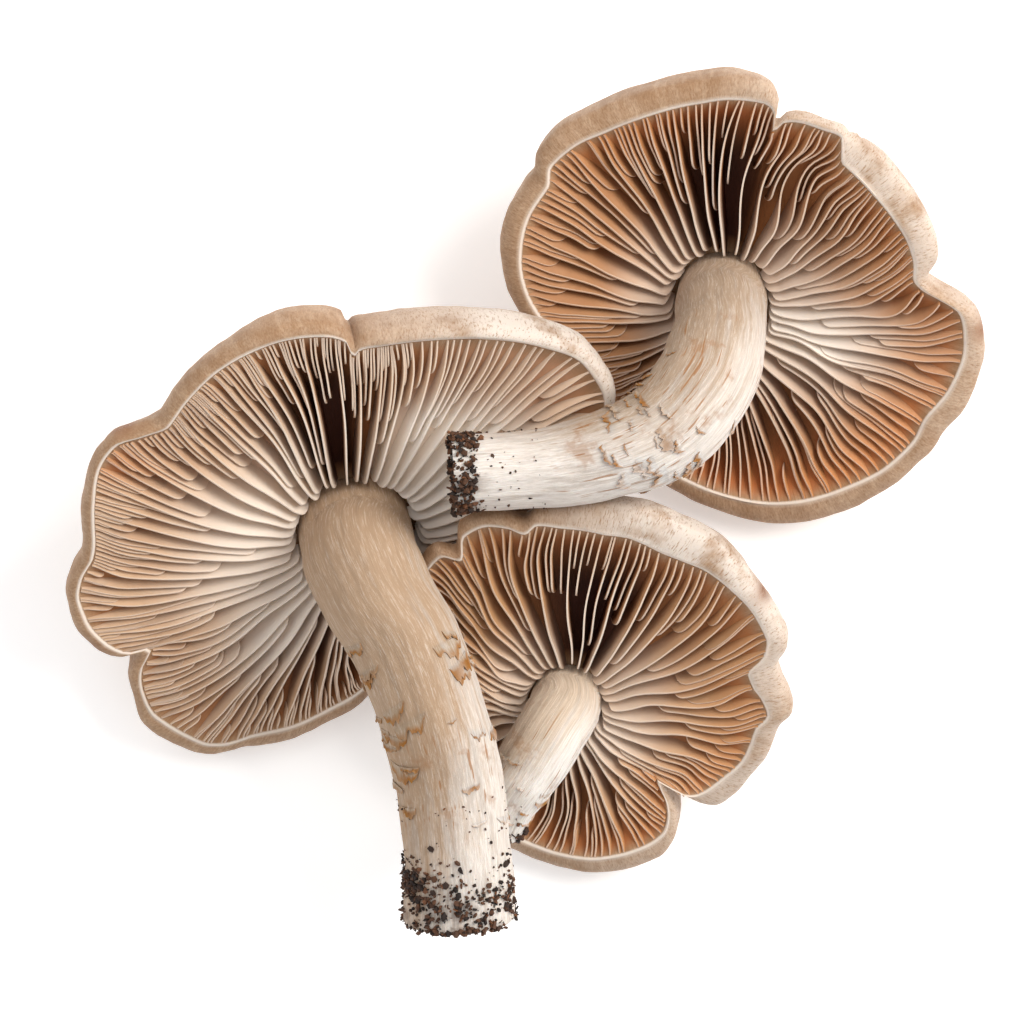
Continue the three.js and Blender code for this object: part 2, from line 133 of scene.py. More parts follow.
LARGE = Sizes(
    name="large",
    hub=(-26.1, -0.5, 23.3),
    tilt=33,
    heading=-76.7,
    lip=3.5,
    lip_wave=(0.5, 3, 40),
    crown=17,
    profile=(
        (20, 2.3), (60, 2.6), (100, 2.5), (120, 2.1), (150, 1.7), (175, 1.8), (195, 2.2), (240, 2.3),
        (268, 1.7), (290, 1.3), (335, 1.3), (355, 1.8),
    ),
    gill_depth=6.5,
    gill_bulge=1.8,
    gill_sweep=(3.2, 2, 30),
    gill_lean=0.55,
    rim=(
        (6, 32), (14, 38), (22, 44.5), (30, 47.5), (37, 47.8), (46, 45.2), (58, 41), (70, 37.4), (82, 35),
        (88.5, 34.2), (90.5, 33), (92.5, 36), (100, 38), (112, 39.3), (124, 39.6), (136, 39), (144.5, 38.4),
        (150, 41), (155, 44.5), (161, 45.4), (170, 44.7), (180, 44.1), (184, 44.6), (189, 47.1),
        (194, 48.4), (199, 48.4), (205, 47.4), (210, 45.2), (212, 41.6), (215.5, 45.3), (220, 47.8),
        (226, 49.5), (237, 49.2), (241, 47.8), (246, 44.2), (254, 40.6), (262, 36.5), (270, 33.2),
        (285, 24), (300, 17.6), (315, 15.8), (332, 16), (348, 21),
    ),
    roll=(
        (60, 1.7), (110, 1.7), (142, 1.2), (155, 0.9), (165, 0.8), (175, 1.5), (190, 1.4), (202, 1.9),
        (212, 2.4), (220, 1.8), (228, 3), (238, 2.8), (250, 3.6), (270, 3.4), (300, 1.7),
    ),
    root=(0.2, -4.5),
    root_radius=9.5,
    stem=(
        (-24.6, -9, 31, 9.1), (-22, -14.2, 34.7, 9), (-17.6, -21.5, 35.8, 8.9), (-13.2, -33, 34.6, 8.9),
        (-10.4, -45, 31, 8.8), (-9.1, -57, 28.2, 8.8), (-8.8, -66.8, 25.6, 9.2),
    ),
    gills=48,
    gill_ranks=4,
    waviness=((0, 0.3), (90, 0.15), (170, 0.3), (230, 0.55), (300, 0.4)),
    gill_painted_light=(
        (10, 0.8), (25, 1.2), (40, 1.7), (60, 1.7), (80, 0.5), (100, 0.1), (125, 0.5), (160, 0.6),
        (182, 0.6), (205, 0.6), (235, 0.9), (260, 0.1), (300, 0.2),
    ),
    gill_painted_glow=((20, 0), (140, 0), (151, 0.1), (159, 1), (167, 0.1), (180, 0)),
    gill_painted_shade=(
        (20, 0), (75, 0.1), (88, 0.5), (97, 1), (108, 0.9), (122, 0.2), (140, 0), (235, 0), (255, 0.7),
        (270, 0.8), (290, 0.3), (320, 0.1),
    ),
    silver_sheen=((0, 0.7), (28, 1.4), (48, 1.4), (66, 0.6), (82, 0.25), (100, 0.05), (200, 0), (300, 0.1)),
    stains=((205, 0.95, 2.0), (152, 0.93, 1.6)),
    flakes=54,
    flake_range=(0.34, 0.8),
    flake_size=(1.6, 7.5),
    tan_range=(0.5, 1.0),
    tan="#B3977B",
    white="#E0D8CF",
    face="#C69F7C",
    crumbs=2600,
    soil_length=9,
    clumps=(
        (0.93, 150, 0.6), (0.9, 50, 0.55), (0.95, 95, 0.4), (0.92, 20, 0.5), (0.94, 240, 0.8),
        (0.93, 300, 0.8),
    ),
    seed=5,
)
TALL = Sizes(
    name="tall",
    hub=(34.9, 39.3, 18.2),
    tilt=24,
    heading=-102.8,
    lip=6,
    lip_wave=(0.6, 2, 100),
    crown=14.8,
    profile=(
        (10, 2.3), (40, 2.3), (54, 1.4), (72, 1.3), (82, 2.2), (95, 2.6), (150, 2.5), (190, 1.8),
        (240, 1.8), (270, 2.2), (330, 2.3),
    ),
    gill_depth=6,
    gill_bulge=0.4,
    gill_sweep=(3, 3, 200),
    gill_lean=0.65,
    rim=(
        (0, 36.5), (2, 34.4), (5.5, 33), (11, 33.4), (17, 33.2), (26, 32.3), (37, 31.4), (48.5, 31.1),
        (52, 33), (54.5, 34.6), (60, 33.8), (66, 33.2), (71, 31.9), (72.8, 29.8), (74.6, 33.4), (78, 34.3),
        (88, 34), (97, 33.3), (110, 33), (124, 33.6), (135, 35), (143, 35.4), (149, 33.8), (160, 34.3),
        (173, 33.7), (183, 32.4), (192, 30.5), (205, 28), (220, 27), (236, 29), (250, 33), (262, 35.8),
        (272, 37.9), (285, 40.3), (294, 41.2), (302, 41.7), (313, 42.5), (321, 42.4), (328, 41.5),
        (337, 42.4), (345, 42.6), (351, 41.9), (356, 40.7),
    ),
    roll=(
        (0, 1), (5, 1.6), (10, 3.2), (18, 3.9), (30, 4.4), (46, 4.5), (50, 3.8), (54, 0.8), (72, 0.7),
        (75, 1.6), (79, 2.8), (90, 3.3), (135, 3.2), (145, 2.6), (153, 3.1), (186, 3), (230, 2.4),
        (285, 4.2), (300, 3.9), (314, 3.1), (325, 3.4), (332, 3.9), (340, 3.3), (348, 2.8), (355, 2),
    ),
    root=(0.1, -4.6),
    root_radius=7.6,
    stem=(
        (34.6, 31.6, 24.5, 8.2), (33.9, 27.2, 30.5, 8.4), (31.3, 20.8, 36, 8.3),
        (25, 13.6, 38, 7.7), (17.2, 9.8, 38.5, 7.1), (8, 7.7, 38, 6.6), (-1, 6.8, 38, 6.3),
        (-9.4, 6.4, 38.4, 6.2),
    ),
    gills=42,
    gill_ranks=3,
    waviness=(
        (0, 0.9), (30, 0.6), (58, 1.3), (71, 0.5), (84, 0.15), (180, 0.35), (260, 0.3), (320, 0.8),
    ),
    gill_painted_light=(
        (0, 0.35), (25, 0.15), (60, 0.1), (90, 0), (130, 0), (165, 0), (200, 0), (250, 0.1), (290, 0.15),
        (315, 0.4), (335, 0.9), (350, 0.75),
    ),
    gill_painted_glow=(
        (0, 0.6), (20, 0.7), (50, 0.3), (75, 0.8), (95, 1), (125, 0.6), (150, 0.1), (220, 0.1), (255, 0.6),
        (285, 1), (320, 1), (345, 0.5),
    ),
    gill_painted_shade=(
        (60, 0.1), (78, 0.8), (90, 1), (102, 0.9), (118, 0.4), (140, 0.1), (250, 0.2), (290, 0.3), (330, 0),
    ),
    silver_sheen=(
        (0, 0.5), (30, 0.8), (58, 0.7), (72, 0.4), (100, 0.05), (250, 0.05), (300, 0.1), (330, 0.15),
    ),
    stains=((352, 0.97, 1.6),),
    flakes=60,
    flake_range=(0.38, 0.72),
    flake_size=(1.8, 5.4),
    tan_range=(0.2, 0.8),
    tan="#B09982",
    white="#EAE3DB",
    face="#B3835C",
    crumbs=1400,
    soil_length=6,
    clumps=(
        (0.98, 160, 0.35), (0.97, 110, 0.3), (0.98, 60, 0.35), (0.97, 20, 0.3), (0.98, 220, 0.6),
        (0.98, 320, 0.6),
    ),
    seed=8,
)
SMALL = Sizes(
    name="small",
    hub=(8, -29.5, 17),
    tilt=28,
    heading=-107.5,
    lip=3.6,
    lip_wave=(0.6, 4, 10),
    crown=13.6,
    profile=(
        (20, 2.4), (60, 2.6), (95, 2.2), (118, 1.4), (150, 1.3), (200, 1.4), (245, 1.9), (300, 2.3),
    ),
    gill_depth=5.2,
    gill_bulge=0.8,
    gill_sweep=(3.5, 2, 250),
    gill_lean=0.6,
    rim=(
        (4, 34.9), (8, 33.7), (12.5, 33.3), (17, 36.6), (22, 38.2), (29, 38.1), (38, 37.1), (46, 36),
        (52, 34.6), (60, 33.4), (68, 33.2), (77, 32.3), (88, 32.3), (96, 32.8), (100, 31.4), (105, 33),
        (112, 34.2), (118, 33.6), (123, 30), (128, 32.2), (135, 31.5), (148, 28), (165, 25), (185, 24.5),
        (205, 25), (225, 26), (245, 27.6), (260, 28.8), (272, 30), (284, 30.9), (300, 31.1), (306, 30.7),
        (311, 29), (315, 26.6), (319.5, 22.8), (321.5, 27.6), (324.5, 29.4), (335, 31.5), (343, 33.1),
        (354, 34), (359, 35.8),
    ),
    roll=(
        (2, 3.6), (12, 4.1), (18, 3.2), (24, 2.3), (32, 2.2), (42, 3.4), (50, 4.6), (58, 5.2), (70, 4.9),
        (80, 4.2), (92, 2.6), (102, 1.7), (200, 1.7), (250, 2.8), (282, 3.4), (300, 3.1), (308, 2.3),
        (317, 2.4), (325, 3.8), (333, 3.5), (341, 2.8), (355, 2.9),
    ),
    root=(1, -2.8),
    root_radius=5.9,
    stem=((6.6, -36.5, 21.4, 5.9), (2.6, -43, 20, 5.6), (-0.8, -48.6, 17, 4.8), (-2.4, -53, 15, 4.1)),
    gills=38,
    gill_ranks=3,
    waviness=((0, 0.6), (60, 0.2), (110, 0.45), (142, 1.4), (200, 0.6), (270, 0.35), (330, 0.5)),
    gill_painted_light=((0, 0.15), (40, 0.15), (70, 0), (140, 0), (200, 0.2), (280, 0.15), (335, 0.3)),
    gill_painted_glow=((0, 0.5), (40, 0.3), (90, 0.2), (180, 0.1), (250, 0.3), (290, 0.7), (330, 0.8)),
    gill_painted_shade=(
        (20, 0.1), (45, 0.3), (60, 0.9), (78, 1), (95, 0.7), (115, 0.2), (150, 0), (250, 0.3), (290, 0.3),
        (340, 0),
    ),
    silver_sheen=((0, 0.5), (20, 0.8), (58, 1.4), (80, 0.6), (104, 0.1), (200, 0.05), (300, 0.3), (335, 0.6)),
    stains=((32, 0.96, 1.6),),
    flakes=34,
    flake_range=(0.5, 0.95),
    flake_size=(1.3, 3.4),
    tan_range=(0.25, 0.7),
    tan="#CFBCA6",
    white="#F8F3EC",
    face="#C29369",
    crumbs=420,
    soil_length=4,
    clumps=((0.97, 180, 0.5), (0.97, 60, 0.5), (0.97, 300, 0.7)),
    seed=13,
)


class Around:
    """A smooth closed curve through angle and value pairs that never overshoots them."""

    STEP = 0.25

    def __init__(self, pairs: tuple) -> None:
        """Tabulates the curve over one turn.

        Args:
            pairs: angle in degrees and value, in the order of their angles.
        """
        angle = np.array([p[0] for p in pairs], float)
        value = np.array([p[1] for p in pairs], float)
        angle = np.append(angle, angle[0] + 360)
        value = np.append(value, value[0])
        slope = np.diff(value) / np.diff(angle)
        before = np.roll(slope, 1)
        product = before * slope
        total = np.where(product > 0, before + slope, 1.0)
        tangent = np.where(product > 0, 2 * product / total, 0.0)
        tangent = np.append(tangent, tangent[0])
        self.angles = np.arange(0, 360, self.STEP)
        turned = np.where(self.angles < angle[0], self.angles + 360, self.angles)
        i = np.clip(np.searchsorted(angle, turned, side="right") - 1, 0, len(slope) - 1)
        span = angle[i + 1] - angle[i]
        t = (turned - angle[i]) / span
        rest = 1 - t
        self.values = (
            value[i] * (1 + 2 * t) * rest**2
            + tangent[i] * span * t * rest**2
            + value[i + 1] * t**2 * (3 - 2 * t)
            - tangent[i + 1] * span * t**2 * rest
        )

    def __call__(self, degrees: np.ndarray) -> np.ndarray:
        """Returns the curve's values at the angles."""
        return np.interp(np.mod(degrees, 360), self.angles, self.values, period=360)


class Waves:
    """A sum of plane waves in seeded directions, for low swellings of a surface."""

    def __init__(self, seed: int, count: int, shortest: float, longest: float) -> None:
        """Draws the waves.

        Args:
            seed: what the draws start from.
            count: how many waves.
            shortest: the shortest wave's length.
            longest: the longest wave's length.
        """
        draw = np.random.default_rng(seed)
        length = np.geomspace(shortest, longest, count)
        way = draw.normal(size=(count, 3))
        self.ways = way / np.linalg.norm(way, axis=1, keepdims=True) * (2 * math.pi / length)[:, None]
        self.phases = draw.uniform(0, 2 * math.pi, count)
        self.share = length / length.sum()

    def __call__(self, points: np.ndarray) -> np.ndarray:
        """Returns a value of about -1 to 1 at each point."""
        return 2 * np.sin(points @ self.ways.T + self.phases) @ self.share


def smooth(low: float, high: float, value: np.ndarray) -> np.ndarray:
    """Returns 0 below low, 1 above high and a smooth rise between."""
    t = np.clip((value - low) / (high - low), 0, 1)
    return t * t * (3 - 2 * t)


def deselect() -> None:
    """Leaves edit mode and deselects every object."""
    if bpy.context.object and bpy.context.object.mode != "OBJECT":
        bpy.ops.object.mode_set(mode="OBJECT")
    bpy.ops.object.select_all(action="DESELECT")


def points_of(piece: bpy.types.Object) -> np.ndarray:
    """Returns a piece's vertices as rows."""
    points = np.empty(len(piece.data.vertices) * 3)
    piece.data.vertices.foreach_get("co", points)
    return points.reshape(-1, 3)


def put_points(mesh: bpy.types.Mesh, points: np.ndarray) -> None:
    """Moves a mesh's vertices to points in millimetres of the heap's own frame."""
    mesh.vertices.foreach_set("co", ((points + HEAP_SHIFT) * MM).astype(np.float32).ravel())
    mesh.update()


def set_vectors(mesh: bpy.types.Mesh, name: str, values: np.ndarray) -> None:
    """Stores three numbers at each vertex, for the finishes to read."""
    layer = mesh.attributes.get(name) or mesh.attributes.new(name, "FLOAT_VECTOR", "POINT")
    layer.data.foreach_set("vector", values.astype(np.float32).ravel())


def ball(name: str, segments: int, rows: int) -> tuple[bpy.types.Object, np.ndarray, np.ndarray]:
    """Adds a globe to be shaped.

    Args:
        name: the piece's name.
        segments: how many segments go round it.
        rows: how many rows it has from pole to pole.

    Returns:
        The globe, each vertex's angle in degrees and its row, from 0 at the top to rows at the bottom.
    """
    deselect()
    bpy.ops.mesh.primitive_uv_sphere_add(segments=segments, ring_count=rows, radius=1)
    piece = bpy.context.object
    piece.name = piece.data.name = name
    co = points_of(piece)
    degrees = np.degrees(np.arctan2(co[:, 1], co[:, 0])) % 360
    row = np.arccos(np.clip(co[:, 2], -1, 1)) / math.pi * rows
    return piece, degrees, np.rint(row)


def joined(name: str, pieces: list) -> bpy.types.Object:
    """Joins pieces into one.

    Args:
        name: the new name.
        pieces: what is joined, into the first of them.

    Returns:
        The joined piece.
    """
    deselect()
    for piece in pieces:
        piece.select_set(True)
    bpy.context.view_layer.objects.active = pieces[0]
    bpy.ops.object.join()
    pieces[0].name = pieces[0].data.name = name
    return pieces[0]


def copy_of(template: bpy.types.Object) -> bpy.types.Object:
    """Copies a piece with a mesh of its own."""
    made = template.copy()
    made.data = template.data.copy()
    bpy.context.scene.collection.objects.link(made)
    return made


def shade_smooth(piece: bpy.types.Object, degrees: float) -> None:
    """Shades a piece smoothly apart from edges sharper than the angle."""
    deselect()
    piece.select_set(True)
    bpy.context.view_layer.objects.active = piece
    bpy.ops.object.shade_smooth_by_angle(angle=math.radians(degrees))


class CapForm:
    """The form of one cap, as points at an angle round the stem and a share of the way out."""

    BULGE_INWARD = 0.8  # under 1, the edges stand highest nearer to the stem than to the lip
    LET_THROUGH = 0.8  # share of the gaps' painted shade that is taken away at the margin, where light comes through
    PAINTED_LIGHT_LOST = 0.85  # share of the gills' painted light that is lost there

    def __init__(self, sizes: Sizes) -> None:
        """Works out the cap's axes and outline."""
        self.m = sizes
        tilt, heading = math.radians(sizes.tilt), math.radians(sizes.heading)
        self.along = np.array(
            (math.sin(tilt) * math.cos(heading), math.sin(tilt) * math.sin(heading), math.cos(tilt))
        )
        right = np.array((1.0, 0.0, 0.0)) - self.along * self.along[0]
        self.right = right / np.linalg.norm(right)
        self.up = np.cross(self.along, self.right)
        self.hub = np.array(sizes.hub)
        self.rim = Around(sizes.rim)
        self.roll_width = Around(sizes.roll)
        self.profile = Around(sizes.profile)
        self.painted_shade = Around(sizes.gill_painted_shade)
        self.pale = Around(sizes.gill_painted_light)
        self.inner = sizes.root_radius + CLEARANCE
        self.socket = sizes.gill_depth * DEPTH_SHARES[0]
        self.shift = sizes.root[0] * self.right + sizes.root[1] * self.up

    def soft_rim(self, u: np.ndarray) -> np.ndarray:
        """Returns the outline without its notches, which the crown follows."""
        places = range(-CREASE_PLACES, CREASE_PLACES + 1)
        return sum(self.rim(u + k * CREASE_SPREAD) for k in places) / len(places)

    def lip(self, u: np.ndarray) -> np.ndarray:
        """Returns the lip's height at the angles."""
        height, waves, start = self.m.lip_wave
        return self.m.lip + height * np.sin(np.radians(waves * u + start))

    def place(self, u: np.ndarray, radius: np.ndarray, height: np.ndarray) -> np.ndarray:
        """Places points of the cap, none of them under the surface that it lies on.

        Args:
            u: angles round the axis.
            radius: distances from the axis.
            height: heights along the axis.

        Returns:
            The points.
        """
        a = np.radians(u)
        points = (
            self.hub
            + (radius * np.cos(a))[..., None] * self.right
            + (radius * np.sin(a))[..., None] * self.up
            + height[..., None] * self.along
        )
        points[..., 2] = np.maximum(points[..., 2], 0)
        return points

    def under(self, u: np.ndarray, v: np.ndarray, radius: np.ndarray, height: np.ndarray) -> np.ndarray:
        """Places points on the gills' side, where the stem stands off the hub and the lip is round it.

        Args:
            u: angles round the stem.
            v: shares of the way out, from 0 at the stem to 1 at the lip.
            radius: distances from the axis.
            height: heights along the axis.

        Returns:
            The points.
        """
        points = self.place(u, radius, height) + (1 - v)[..., None] * self.shift
        points[..., 2] = np.maximum(points[..., 2], 0)
        return points

    def reach(self, u: np.ndarray, v: np.ndarray) -> np.ndarray:
        """Returns the distance from the axis at a share v of the gills' way out."""
        return self.inner + (self.rim(u) - LIP_WIDTH - self.inner) * v

    def edge(self, u: np.ndarray, v: np.ndarray) -> np.ndarray:
        """Returns the height of the long gills' free edges."""
        bulge = self.m.gill_bulge * np.sin(math.pi * np.maximum(v, 0) ** self.BULGE_INWARD)
        return (self.lip(u) - LIP_DROP) * v + bulge

    def depth(self, u: np.ndarray, v: np.ndarray) -> np.ndarray:
        """Returns how far the flesh lies under the free edges, deepest where shade is painted into the
        gaps.
        """
        share = SHALLOW + (1 - SHALLOW) * self.painted_shade(u) - RAISED * np.clip(self.pale(u) - 1, 0, 1)
        return self.m.gill_depth * share * np.interp(v, DEPTH_STATIONS, DEPTH_SHARES)

    def fade(self, v: np.ndarray) -> np.ndarray:
        """Returns how much of the gaps' painted shade is left towards the margin, where light comes
        through.
        """
        return 1 - self.LET_THROUGH * smooth(0.5, 0.95, v)

    def painted_light_share(self, v: np.ndarray) -> np.ndarray:
        """Returns how much of the gills' painted light is left towards the margin."""
        return 1 - self.PAINTED_LIGHT_LOST * smooth(0.3, 0.8, v)

    def turn_in(self, u: np.ndarray, v: np.ndarray) -> np.ndarray:
        """Works out how far gills turn near the margin to meet it squarely.

        Args:
            u: the gills' angles.
            v: shares of the way out.

        Returns:
            The turns in degrees.
        """
        rim = self.rim(u)
        slant = (self.rim(u + TURN_SPAN) - self.rim(u - TURN_SPAN)) / (math.radians(2 * TURN_SPAN) * rim)
        t = np.clip((v - TURN_START) / (1 - TURN_START), 0, 1)
        turn = np.clip(slant, -TURN_MOST, TURN_MOST) * (1 - self.inner / rim) * t**2 * (1 - TURN_START) / 2
        return -np.degrees(turn)

    def skin(self, u: np.ndarray, s: np.ndarray) -> np.ndarray:
        """Places points of the skin.

        Args:
            u: angles round the axis.
            s: shares of the way from the crown, at 0, to the widest place, at 1.

        Returns:
            The points.
        """
        power = 2 / self.profile(u)
        out = np.sin(s * math.pi / 2) ** power
        down = np.maximum(np.cos(s * math.pi / 2), 0) ** power
        soft = self.soft_rim(u)
        radius = (soft + (self.rim(u) - soft) * out**NOTCH_FADE + self.roll_width(u)) * out
        widest = self.lip(u) - ROLL_HEIGHT
        return self.place(u, radius, widest - (widest + self.m.crown) * down)

    def roll(self, u: np.ndarray, turn: np.ndarray) -> np.ndarray:
        """Places points of the rolled margin.

        Args:
            u: angles round the axis.
            turn: angles across the roll, from 90 degrees at the lip to 0 at the widest place.

        Returns:
            The points.
        """
        a = np.radians(turn)
        radius = self.rim(u) + self.roll_width(u) * np.cos(a)
        return self.place(u, radius, self.lip(u) - ROLL_HEIGHT * (1 - np.sin(a)))


class Cap:
    """A cap's flesh and skin, on which the gills stand."""

    SOCKET_ROWS = 2
    FLESH_ROWS = 12
    LIP_ROWS = 2
    ROLL_ROWS = 12
    CROWDING = 1.25  # over 1, the skin's rows lie closer together at the widest place
    FIBRES = 90.0  # radius of the ring of the fibres' pattern that closes round the cap
    ROLL_SHARE = 0.12  # how far past the widest place, at 1, the skin's measure goes up to the lip
    LIP_BLEND = 0.35  # how much of the lip's paleness the roll's first row has
    STAIN_SPAN = 14  # millimetres that one unit of the skin's measure stands for in a stain
    RELIEF = 0.3  # height of the broad swellings
    FINE_RELIEF = 0.07  # height of the small ones
    LYING = 1.5  # up to this height the skin lies flat and has no swelling

    def __init__(self, sizes: Sizes) -> None:
        """Keeps the sizes and the form."""
        self.m = sizes
        self.form = CapForm(sizes)

    def build(self) -> bpy.types.Object:
        """Shapes a globe into the cap, its upper pole in the stem's socket and its lower at the crown."""
        piece, u, row = ball(f"cap_{self.m.name}_flesh", CAP_SEGMENTS, CAP_ROWS)
        form = self.form
        points = np.zeros((len(u), 3))
        marks = np.zeros((len(u), 3))  # lip, silvery fibres with painted highlight, stain
        grain = np.zeros((len(u), 3))
        floor = np.zeros((len(u), 3))  # between the gills, from painted light at -1 to painted shade at 1, painted glow

        start = self.SOCKET_ROWS
        zone = row <= start
        flat = np.zeros(zone.sum())
        points[zone] = form.under(u[zone], flat, form.inner * row[zone] / start, flat - form.socket)

        end = start + self.FLESH_ROWS
        zone = (row > start) & (row <= end)
        v = (row[zone] - start) / self.FLESH_ROWS
        floor[zone, 0] = smooth(1.0, 0.96, v)
        # Painted shade where the gaps should look dark, painted light where they should look pale, painted
        # glow near the margin
        painted_shade = form.painted_shade(u[zone])
        pale = form.pale(u[zone]) * form.painted_light_share(v)
        floor[zone, 1] = painted_shade * form.fade(v) - pale * (1 - painted_shade)
        floor[zone, 2] = Around(self.m.gill_painted_glow)(u[zone]) * smooth(0.5, 1.0, v)
        floor_height = form.edge(u[zone], v) - form.depth(u[zone], v)
        points[zone] = form.under(u[zone], v, form.reach(u[zone], v), floor_height)

        start, end = end, end + self.LIP_ROWS
        zone = (row > start) & (row <= end)
        t = (row[zone] - start) / (self.LIP_ROWS + 1)
        points[zone] = form.place(
            u[zone], form.rim(u[zone]) - LIP_WIDTH * (1 - t), form.lip(u[zone]) - LIP_DROP * (1 - t) ** 2
        )
        marks[zone, 0] = 1

        start, end = end, end + self.ROLL_ROWS
        zone = (row > start) & (row <= end)
        t = (row[zone] - start - 1) / (self.ROLL_ROWS - 1)
        points[zone] = form.roll(u[zone], 90 * (1 - t))
        marks[zone, 0] = self.LIP_BLEND * (t == 0)
        grain[zone, 2] = 1 + self.ROLL_SHARE * (1 - t)

        zone = row > end
        s = 1 - (row[zone] - end) / (CAP_ROWS - end)
        s = 1 - (1 - s) ** self.CROWDING
        points[zone] = form.skin(u[zone], s)
        grain[zone, 2] = s

        # Silvery fibres with a painted highlight, strongest where the rims face the key light
        silver_sheen = Around(self.m.silver_sheen)
        outside = row > end - self.ROLL_ROWS
        marks[outside, 1] = silver_sheen(u[outside]) * smooth(0.45, 0.98, grain[outside, 2])
        for angle, share, size in self.m.stains:
            turn = (u - angle + 180) % 360 - 180
            off = np.hypot(np.radians(turn) * form.rim(u), (grain[:, 2] - share) * self.STAIN_SPAN)
            marks[outside, 2] = np.maximum(marks[outside, 2], np.exp(-((off[outside] / size) ** 2)))
        a = np.radians(u)
        grain[:, 0] = np.cos(a) * self.FIBRES
        grain[:, 1] = np.sin(a) * self.FIBRES

        put_points(piece.data, points)
        normals = np.empty(len(u) * 3)
        piece.data.vertex_normals.foreach_get("vector", normals)
        swell = Waves(self.m.seed, 14, 5.0, 30.0)(points) * self.RELIEF
        swell += Waves(self.m.seed + 1, 10, 1.6, 4.0)(points) * self.FINE_RELIEF
        raised = outside & (points[:, 2] >= self.LYING)
        moved = points + normals.reshape(-1, 3) * np.where(raised, swell, 0)[:, None]
        moved[:, 2] = np.maximum(moved[:, 2], 0)
        put_points(piece.data, moved)
        set_vectors(piece.data, "marks", marks)
        set_vectors(piece.data, "grain", grain)
        set_vectors(piece.data, "floor", floor)
        shade_smooth(piece, 60)
        return piece


class GillKind(Enum):
    """The four lengths of gill.

    Each has its first and last start, how far short of the long ones' edge it stays, the length of its
    rounded inner end and its grid.
    """

    LONG = (-0.02, 0.03, 0.0, 1.2, (34, 6))
    HALF = (0.12, 0.62, 0.12, 2.6, (24, 5))
    QUARTER = (0.4, 0.82, 0.25, 2.6, (14, 4))
    EIGHTH = (0.66, 0.94, 0.4, 2.0, (10, 3))


